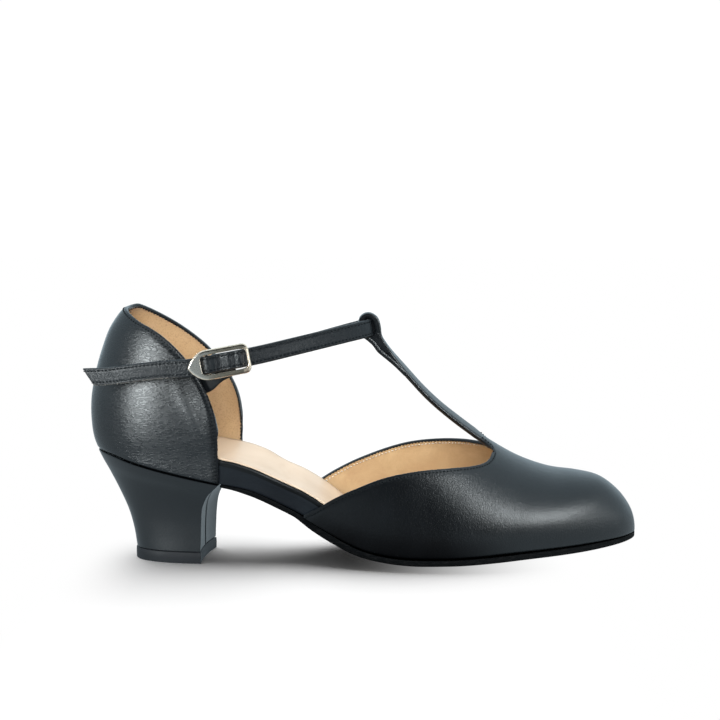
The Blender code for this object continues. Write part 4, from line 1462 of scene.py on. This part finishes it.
def grain_group():
    """Leather grain: soft plates between fine drawn wrinkles. Vector is in millimetres."""
    look, start, end = new_group(
        "leather_grain", ("Vector", "Wrinkle", "Swell"), ("Height", "Cloud"))
    space = start["Vector"]
    cells = look.node(
        "ShaderNodeTexVoronoi", {"Vector": space, "Scale": 1.7, "Smoothness": 0.6},
        feature="SMOOTH_F1")
    pebbles = look.times(cells.outputs["Distance"], -0.45)
    drawn = look.off(look.noise(space, 0.95, 1.5, 0.5, 0.6), 0.5)
    folds = look.times(look.ramp(drawn, 0.0, 0.13), start["Wrinkle"])
    swell = look.times(look.noise(space, 0.3, 2.0, 0.6, 0.3), start["Swell"])
    look.feed(look.plus(look.plus(pebbles, folds), swell), end["Height"])
    look.feed(look.noise(space, 0.05, 3.0, 0.6, 0.3), end["Cloud"])
    return look.tree


def edge_group():
    """Sewn folded edge: a pressed groove with puckers between the stitches."""
    look, start, end = new_group("sewn_edge", ("From Edge", "Run", "Inset"), ("Height", "Groove"))
    off = look.off(start["From Edge"], start["Inset"])
    pucker = look.times(look.beat(start["Run"], STITCH_PITCH), look.ramp(off, 0.2, 1.3, 0.35, 0.0))
    look.feed(pucker, end["Height"])
    look.feed(look.ramp(off, 0.15, 0.75, 1.0, 0.0), end["Groove"])
    return look.tree


def shaded(colour, tone):
    return tuple(tone * part for part in colour[:3]) + (1.0,)


def leather_finish(name, groups, stretch, turn=STRAIGHT, wrinkle=1.0, gloss=0.40, sewn=False,
                   tone=1.0, swell=0.6, deep=GRAIN_DEEP, pucker=PUCKER_DEEP, rolled=False):
    """Satin black leather; the grain is drawn out along the pattern's stretch."""
    made, look = new_material(name)
    grain = look.group(
        groups["grain"], {"Vector": look.space(stretch, turn), "Wrinkle": wrinkle, "Swell": swell})
    cloud = grain["Cloud"]
    colour = look.mix(
        look.ramp(cloud, 0.35, 0.7), shaded(LEATHER, tone), shaded(LEATHER_PALE, tone))
    # painted shade: the board's rolled edge and lid are painted near black, as if in shadow under
    # the sock
    if rolled:
        colour = look.mix(look.times(look.attribute("roll_painted_shade"), 0.85), colour, BLACK)
    rough = look.minus(look.scaled(cloud, 0.10, gloss - 0.05), look.times(grain["Height"], 0.05))
    normal = look.bump(grain["Height"], deep, 1.0)
    if sewn:
        values = {"From Edge": look.attribute("from_edge"), "Run": look.attribute("edge_run"),
                  "Inset": STITCH_INSET}
        edge = look.group(groups["edge"], values)
        off_bar = look.off_bar()
        normal = look.bump(look.times(edge["Height"], off_bar), pucker, 0.8, normal)
        rough = look.plus(rough, look.times(look.times(edge["Groove"], off_bar), 0.2))
    look.finish(colour, rough, normal, {"Coat Weight": 0.03, "Coat Roughness": 0.28})
    return made


def lining_finish(name, nap, fold, top_fold, tan_pale, bar_black=False):
    """Tan lining with the leather's turned edge above it; nap is 1 for suede, 0 for smooth."""
    made, look = new_material(name)
    space = look.space()
    up = look.parts(space)["Z"]
    speck = look.noise(space, 1.5, 3.0, 0.75)
    folds = look.noise(look.space((0.35, 1.0, 1.4), (0.0, 0.5, 0.0)), 0.10, 2.0, 0.5, 0.8)
    tan = look.mix(look.ramp(look.noise(space, 0.06, 4.0, 0.65, 0.4), 0.3, 0.75), TAN, tan_pale)
    # painted shade: the smooth lining is darker low down inside the shoe
    tan = look.mix(look.ramp(up, *LINING_PAINTED_SHADE, 0.45 * (1 - nap), 0.0), tan, TAN_DARK)
    tan = look.mix(look.ramp(speck, 0.46, 0.80, 0.0, 0.12 + 0.9 * nap), tan, TAN_DARK)
    ragged = look.scaled(look.noise(space, 0.75, 3.0, 0.75), 0.9, -0.45)
    teeth = look.times(look.beat(look.attribute("edge_run"), STITCH_PITCH), 0.18)
    reach = look.minus(look.plus(ragged, teeth), look.ramp(up, *FOLD_CHANGE, fold, top_fold))
    lined = look.ramp(look.plus(look.attribute("from_edge"), reach), -0.12, 0.12)
    if bar_black:
        lined = look.times(lined, look.off_bar())
    height = look.plus(look.times(speck, 0.25 + 0.5 * nap), look.times(folds, 3.0 * (1 - nap)))
    height = look.minus(height, look.times(lined, 1.2))
    look.finish(
        look.mix(lined, LEATHER_PALE, tan), look.scaled(lined, 0.22 + 0.2 * nap, 0.45),
        look.bump(height, 0.22, 0.6), {"Sheen Weight": 0.08 + 0.25 * nap})
    return made


def strap_finish(groups):
    """Strap leather: crosswise crinkles, pressed seams and pale worn edges."""
    made, look = new_material("strap_leather_worn")
    grain = look.group(
        groups["grain"], {"Vector": look.space((1.0, 1.0, 0.45)), "Wrinkle": 1.6, "Swell": 0.6})
    half = STRAP_WIDTH / 2
    along = look.attribute("along")
    high = look.attribute("across")
    across = look.math("ABSOLUTE", high)
    fray = look.noise(look.space(), 0.9, 4.0, 0.7)
    worn = look.times(look.ramp(across, half - 0.55, half - 0.05), look.ramp(fray, 0.52, 0.72))
    colour = look.mix(worn, STRAP_BLACK, STRAP_WORN)
    low = look.ramp(high, 0.1 - half, 0.75 - half, 1.0, 0.0)
    tail = look.ramp(along, *TAIL_FRAY, 1.0, 0.0)
    frayed = look.times(look.times(low, tail), look.ramp(fray, 0.36, 0.56))
    colour = look.mix(frayed, colour, STRAP_FRAY)
    pressed = look.ramp(look.off(across, half - STRAP_SEAM), 0.1, 0.55, 1.0, 0.0)
    rough = look.plus(look.scaled(grain["Cloud"], 0.12, 0.33), look.times(worn, 0.3))
    band = look.node("ShaderNodeCombineXYZ", {"X": along, "Y": look.times(high, 0.22)})
    crinkle = look.noise(band.outputs["Vector"], 1.1, 2.0, 0.55, 0.4)
    normal = look.bump(crinkle, 0.08, 1.0)
    normal = look.bump(grain["Height"], 2 * GRAIN_DEEP, 1.0, normal)
    normal = look.bump(look.times(look.beat(along, STRAP_PITCH), pressed), 0.14, 0.6, normal)
    look.finish(colour, rough, normal, {"Coat Weight": 0.08, "Coat Roughness": 0.25})
    return made


def sock_finish():
    """Smooth beige leather with faint creases, rubbed patches and painted shade toward the heel."""
    made, look = new_material("sock_beige")
    space = look.space()
    cloud = look.noise(space, 0.045, 4.0, 0.6, 0.5)
    fine = look.noise(space, 1.3, 3.0, 0.6)
    creases = look.noise(look.space((0.25, 1.0, 1.0)), 0.22, 3.0, 0.6, 0.7)
    colour = look.mix(look.ramp(cloud, 0.4, 0.8, 0.0, 0.6), SOCK_BEIGE, SOCK_DARK)
    colour = look.mix(look.ramp(fine, 0.55, 0.8, 0.0, 0.12), colour, SOCK_DARK)
    # painted shade: the sock darkens toward the heel, inside the counter
    colour = look.mix(look.ramp(look.parts(space)["X"], *SOCK_PAINTED_SHADE, 0.6, 0.0), colour, SOCK_DARK)
    height = look.plus(look.times(fine, 0.3), creases)
    look.finish(colour, look.scaled(cloud, 0.2, 0.36), look.bump(height, 0.2, 0.5))
    return made


def sole_finish():
    """Matte black fibrous edge, and buffed suede on the tread."""
    made, look = new_material("sole_edge_suede")
    fibres = look.noise(look.space((0.3, 0.3, 1.6)), 0.9, 5.0, 0.7, 0.4)
    nap = look.noise(look.space(), 1.1, 5.0, 0.75)
    facing = look.node("ShaderNodeNewGeometry", {}).outputs["True Normal"]
    tread = look.ramp(look.parts(facing)["Z"], -0.93, -0.86, 1.0, 0.0)
    edge = look.mix(look.ramp(fibres, 0.45, 0.8), EDGE_BLACK, EDGE_PALE)
    suede = look.mix(look.ramp(nap, 0.3, 0.75), SUEDE_DARK, SUEDE)
    look.finish(
        look.mix(tread, edge, suede), look.ramp(fibres, 0.2, 0.9, 1.0, 0.85),
        look.bump(look.plus(fibres, nap), 0.35, 0.7), {"Specular IOR Level": 0.15})
    return made


def rubber_finish():
    """Dark rubber with a dull bloom."""
    made, look = new_material("lift_rubber")
    cloud = look.noise(look.space(), 0.12, 4.0, 0.65)
    fine = look.noise(look.space(), 2.2, 2.0, 0.6)
    look.finish(
        look.mix(look.ramp(cloud, 0.35, 0.75), RUBBER, RUBBER_PALE),
        look.ramp(cloud, 0.2, 0.8, 0.50, 0.66), look.bump(fine, 0.10, 0.4),
        {"Specular IOR Level": 0.3})
    return made


def thread_finish(name, colour, rough):
    """Twisted thread: fine slanted plies."""
    made, look = new_material(name)
    twist = {"Vector": look.space(EVEN, (0.0, 0.7, 0.5)), "Scale": 2.6}
    plies = look.node("ShaderNodeTexWave", twist, wave_type="BANDS").outputs["Fac"]
    look.finish(
        look.mix(plies, shaded(colour, 0.6), colour),
        look.ramp(plies, 0.0, 1.0, rough + 0.1, rough - 0.1), look.bump(plies, 0.06, 0.5),
        {"Specular IOR Level": 0.25})
    return made


def metal_finish():
    """Silver plate with a brushed haze, painted shade on the rails and painted highlights on the
    edges.
    """
    made, look = new_material("buckle_silver")
    haze = look.noise(look.space((0.25, 1.0, 1.0)), 0.9, 4.0, 0.7)
    space = look.space()
    ahead = look.parts(space)["X"]
    # painted shade: the rails are darker than the plate, a little unevenly
    dull = look.ramp(look.noise(space, 0.15, 3.0, 0.6), 0.2, 0.8, 1.0, 0.75)
    rails = look.times(look.ramp(ahead, *BUCKLE_SHADED_RAILS), dull)
    # painted highlights along the outer rim, the window's edge and the front bar
    rim = look.ramp(look.attribute("from_rim"), 0.25, 0.65, 1.0, 0.0)
    window = look.ramp(look.attribute("from_window"), 0.05, 0.35, 0.8, 0.0)
    bright = look.math("MAXIMUM", look.math("MAXIMUM", rim, window), look.ramp(ahead, *BUCKLE_HIGHLIGHT_END))
    colour = look.mix(bright, look.mix(rails, SILVER, SILVER_PAINTED_SHADE), SILVER_PAINTED_HIGHLIGHT)
    rough = look.minus(look.ramp(haze, 0.25, 0.8, 0.22, 0.34), look.times(bright, 0.06))
    look.finish(colour, rough, look.bump(haze, 0.012, 0.3), {"Metallic": 1.0})
    return made


# Stage

FLOOR_HALF = 30.0


def make_floor():
    """Pale floor: a painted glow makes it even under the toe and behind the heel, with the shoe's
    shadow between.
    """
    bm = bmesh.new()
    bmesh.ops.create_grid(bm, x_segments=1, y_segments=1, size=FLOOR_HALF)
    mesh = bpy.data.meshes.new("floor")
    bm.to_mesh(mesh)
    bm.free()
    made, look = new_material("pale_floor")
    path = look.node("ShaderNodeLightPath", {}).outputs
    place = look.parts(look.space())
    # painted light: the camera sees the floor glow evenly under the toe and behind the heel, over
    # the shadow
    toe = look.ramp(place["X"], -10.0, 90.0)
    back = look.ramp(place["X"], -128.0, -88.0, 1.0, 0.0)
    even = look.times(look.math("MAXIMUM", toe, back), path["Is Camera Ray"])
    ends = look.ramp(look.math("ABSOLUTE", place["X"]), 30.0, 80.0)
    behind = look.ramp(place["Y"], -30.0, 20.0)
    # painted reflection: reflections see the floor glow at the ends and behind the shoe
    mirrored = look.times(look.math("MAXIMUM", ends, behind), FLOOR_MIRROR)
    mirrored = look.times(mirrored, path["Is Glossy Ray"])
    # bounced light sees the floor dim, the camera sees it white
    lit = look.mix(path["Is Camera Ray"], FLOOR_BOUNCE, FLOOR_WHITE)
    glow = {
        "Emission Color": look.mix(path["Is Glossy Ray"], WHITE, ROOM),
        "Emission Strength": look.plus(even, mirrored), "Specular IOR Level": 0.0}
    look.finish(look.mix(even, lit, BLACK), 0.9, others=glow)
    mesh.materials.append(made)
    floor = bpy.data.objects.new("floor", mesh)
    bpy.context.scene.collection.objects.link(floor)
    floor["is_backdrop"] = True


def make_world():
    """White studio: the leather mirrors a bright room behind a dim camera side."""
    world = bpy.data.worlds.new("studio")
    bpy.context.scene.world = world
    world.use_nodes = True
    look = Look(world.node_tree)
    background = world.node_tree.nodes["Background"].inputs
    away = look.parts(look.node("ShaderNodeTexCoord", {}).outputs["Generated"])["Y"]
    near_wall = look.ramp(away, -0.75, -0.2, 0.03, 0.95)
    mirrored_room = look.plus(near_wall, look.ramp(away, 0.55, 0.9, 0.0, 0.35))
    path = look.node("ShaderNodeLightPath", {}).outputs
    look.feed(look.mix(path["Is Glossy Ray"], WHITE, ROOM), background["Color"])
    glow = look.ramp(path["Is Glossy Ray"], 0.0, 1.0, AMBIENT, mirrored_room)
    look.feed(look.ramp(path["Is Camera Ray"], 0.0, 1.0, glow, BACKDROP), background["Strength"])


FRONT_PIECES = ("vamp_upper", "vamp_stitches", "loop_tuck", "sole", "covered_board")
COUNTER_PIECES = ("counter_upper", "counter_stitches")
STRAP_PIECES = ("strap", "strap_stitches", "buckle_frame")
SUN_POWER = 3.1
SUN_WIDE = math.radians(72.0)
SUN_LEAN = math.radians(-14.0)

# Studio lamps, in metres: the pieces each one lights, where it stands and where it points
Lamp = namedtuple("Lamp", "name lit place aim wide high power")
LAMPS = table(
    Lamp,
    ("counter_box", "counter", (-0.300, -0.241, 0.122), (-0.095, -0.022, 0.075), 0.055, 0.25, 1.05),
    ("counter_edge", "counter", (-0.132, -0.320, 0.08), (-0.07, -0.027, 0.07), 0.03, 0.12, 0.2),
    ("left_box", "back", (-0.69, -0.70, 0.10), (-0.10, -0.02, 0.07), 0.15, 0.62, 9.5),
    ("toe_box", "front", (0.610, -0.584, 0.488), (0.075, -0.029, 0.024), 0.24, 0.32, 6.5),
    ("toe_end", "front", (1.0, -0.17, 0.06), (0.106, -0.017, 0.02), 0.3, 0.3, 0.3),
    ("vamp_box", "front", (0.30, -0.71, 0.562), (0.045, -0.033, 0.033), 0.41, 0.22, 0.2),
    ("right_low", "front", (0.80, -0.40, 0.14), (0.0, -0.01, 0.09), 0.20, 0.22, 0.7),
    ("strap_box", "straps", (0.50, -0.74, 0.15), (-0.027, -0.023, 0.097), 0.25, 0.25, 0.9),
)
FILL = Lamp("front_fill", "all", (0.0, -1.2, 0.55), (0.0, 0.0, 0.05), 1.0, 0.6, 22.0)


def add_lamp(lamp, pieces):
    """A flat lamp that lights only the given pieces."""
    light = bpy.data.lights.new(lamp.name, "AREA")
    light.shape = "RECTANGLE"
    light.size = lamp.wide
    light.size_y = lamp.high
    light.energy = lamp.power
    item = bpy.data.objects.new(lamp.name, light)
    item.location = lamp.place
    facing = (Vector(lamp.aim) - Vector(lamp.place)).to_track_quat("-Z", "Y")
    item.rotation_euler = facing.to_euler()
    item.visible_camera = False
    bpy.context.scene.collection.objects.link(item)
    lit = bpy.data.collections.new(lamp.name)
    for piece in pieces:
        lit.objects.link(piece)
    item.light_linking.receiver_collection = lit
    return item


def make_lights(pieces):
    """A wide soft sun from above, lamps that only shine in mirrors, and a fill from the front."""
    sky = bpy.data.lights.new("overhead", "SUN")
    sky.energy = SUN_POWER
    sky.angle = SUN_WIDE
    item = bpy.data.objects.new("overhead", sky)
    item.rotation_euler = (SUN_LEAN, 0.0, 0.0)
    item.visible_glossy = False
    bpy.context.scene.collection.objects.link(item)

    def named(names):
        return [piece for piece in pieces if piece.name in names]

    back = [piece for piece in pieces if piece.name not in FRONT_PIECES + COUNTER_PIECES]
    lit = {"front": named(FRONT_PIECES), "counter": named(COUNTER_PIECES), "back": back,
           "straps": named(STRAP_PIECES), "all": pieces}
    for lamp in LAMPS:
        box = add_lamp(lamp, lit[lamp.lit])
        box.visible_diffuse = False
        box.data.color = BOX_TINT
    fill = add_lamp(FILL, lit[FILL.lit])
    fill.visible_glossy = False


def make_camera():
    camera = bpy.data.cameras.new("camera")
    camera.lens = LENS
    camera.sensor_width = SENSOR
    item = bpy.data.objects.new("camera", camera)
    back = Vector((0.0, -math.cos(CAMERA_RISE), math.sin(CAMERA_RISE)))
    item.location = CAMERA_AIM + back * CAMERA_DISTANCE
    item.rotation_euler = (math.pi / 2 - CAMERA_RISE, 0.0, 0.0)
    bpy.context.scene.collection.objects.link(item)
    bpy.context.scene.camera = item


def main():
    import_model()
    bpy.context.scene.view_settings.view_transform = "Standard"
    groups = {"grain": grain_group(), "edge": edge_group()}
    vamp_leather = leather_finish(
        "vamp_black", groups, (1.2, 1.2, 0.7), (0.0, 0.3, 0.0), wrinkle=0.4, sewn=True,
        tone=0.7, swell=1.1, deep=3 * GRAIN_DEEP)
    counter_leather = leather_finish(
        "counter_black", groups, (0.36, 0.36, 1.25), wrinkle=1.6, gloss=0.33, sewn=True,
        swell=0.4, pucker=0.09)
    heel_leather = leather_finish("heel_black", groups, (0.9, 0.9, 0.7), wrinkle=0.5, gloss=0.38)
    # rolled=True paints shade on the board's rolled edge
    board_leather = leather_finish(
        "board_black", groups, (0.6, 1.0, 1.0), wrinkle=0.8, gloss=0.45, tone=2.6, rolled=True)
    tab_leather = leather_finish("tab_black", groups, EVEN, wrinkle=0.8, gloss=0.75)
    vamp_lining = lining_finish(
        "vamp_lining", 0.15, VAMP_FOLD, VAMP_FOLD, TAN_SMOOTH, bar_black=True)
    counter_lining = lining_finish("counter_lining", 1.0, COUNTER_FOLD, COLLAR_FOLD, TAN_PALE)
    black_thread = thread_finish("black_thread", THREAD, 0.7)
    pale_thread = thread_finish("pale_thread", THREAD_PALE, 0.6)

    vamp_seams, pale_seams = make_vamp(vamp_leather, vamp_lining)
    make_loop_tuck(vamp_leather)
    counter_seams = make_counter(counter_leather, counter_lining)
    add_stitches("vamp_stitches", vamp_seams, black_thread, "vamp_leather")
    add_stitches("counter_stitches", counter_seams, black_thread, "counter_leather", thick=0.6)
    add_stitches(
        "lining_stitches", pale_seams, pale_thread, "vamp_leather", pitch=1.6, long=1.0,
        thick=0.6, sink=-0.22)
    front = HEEL_RIBS - 1
    make_bottom("sole", sole_finish(), "sole_suede", "outsole", front + 0.05,
                lambda rib: rib.lip, sole_ring)
    make_bottom("covered_board", board_leather, "board_leather", "insole_board", HEEL_END,
                lambda rib: -BOARD_INSET, board_ring, BOARD_ROLL_SHADE)
    make_bottom("sock", sock_finish(), "sock_leather", "sock_lining", HEEL_END,
                lambda rib: -SOCK_INSET, sock_ring)
    make_heel(heel_leather, rubber_finish())
    make_strap(strap_finish(groups), black_thread)
    make_buckle(metal_finish())
    make_tab(tab_leather)

    make_floor()
    make_world()
    make_lights(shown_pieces())
    make_camera()


main()
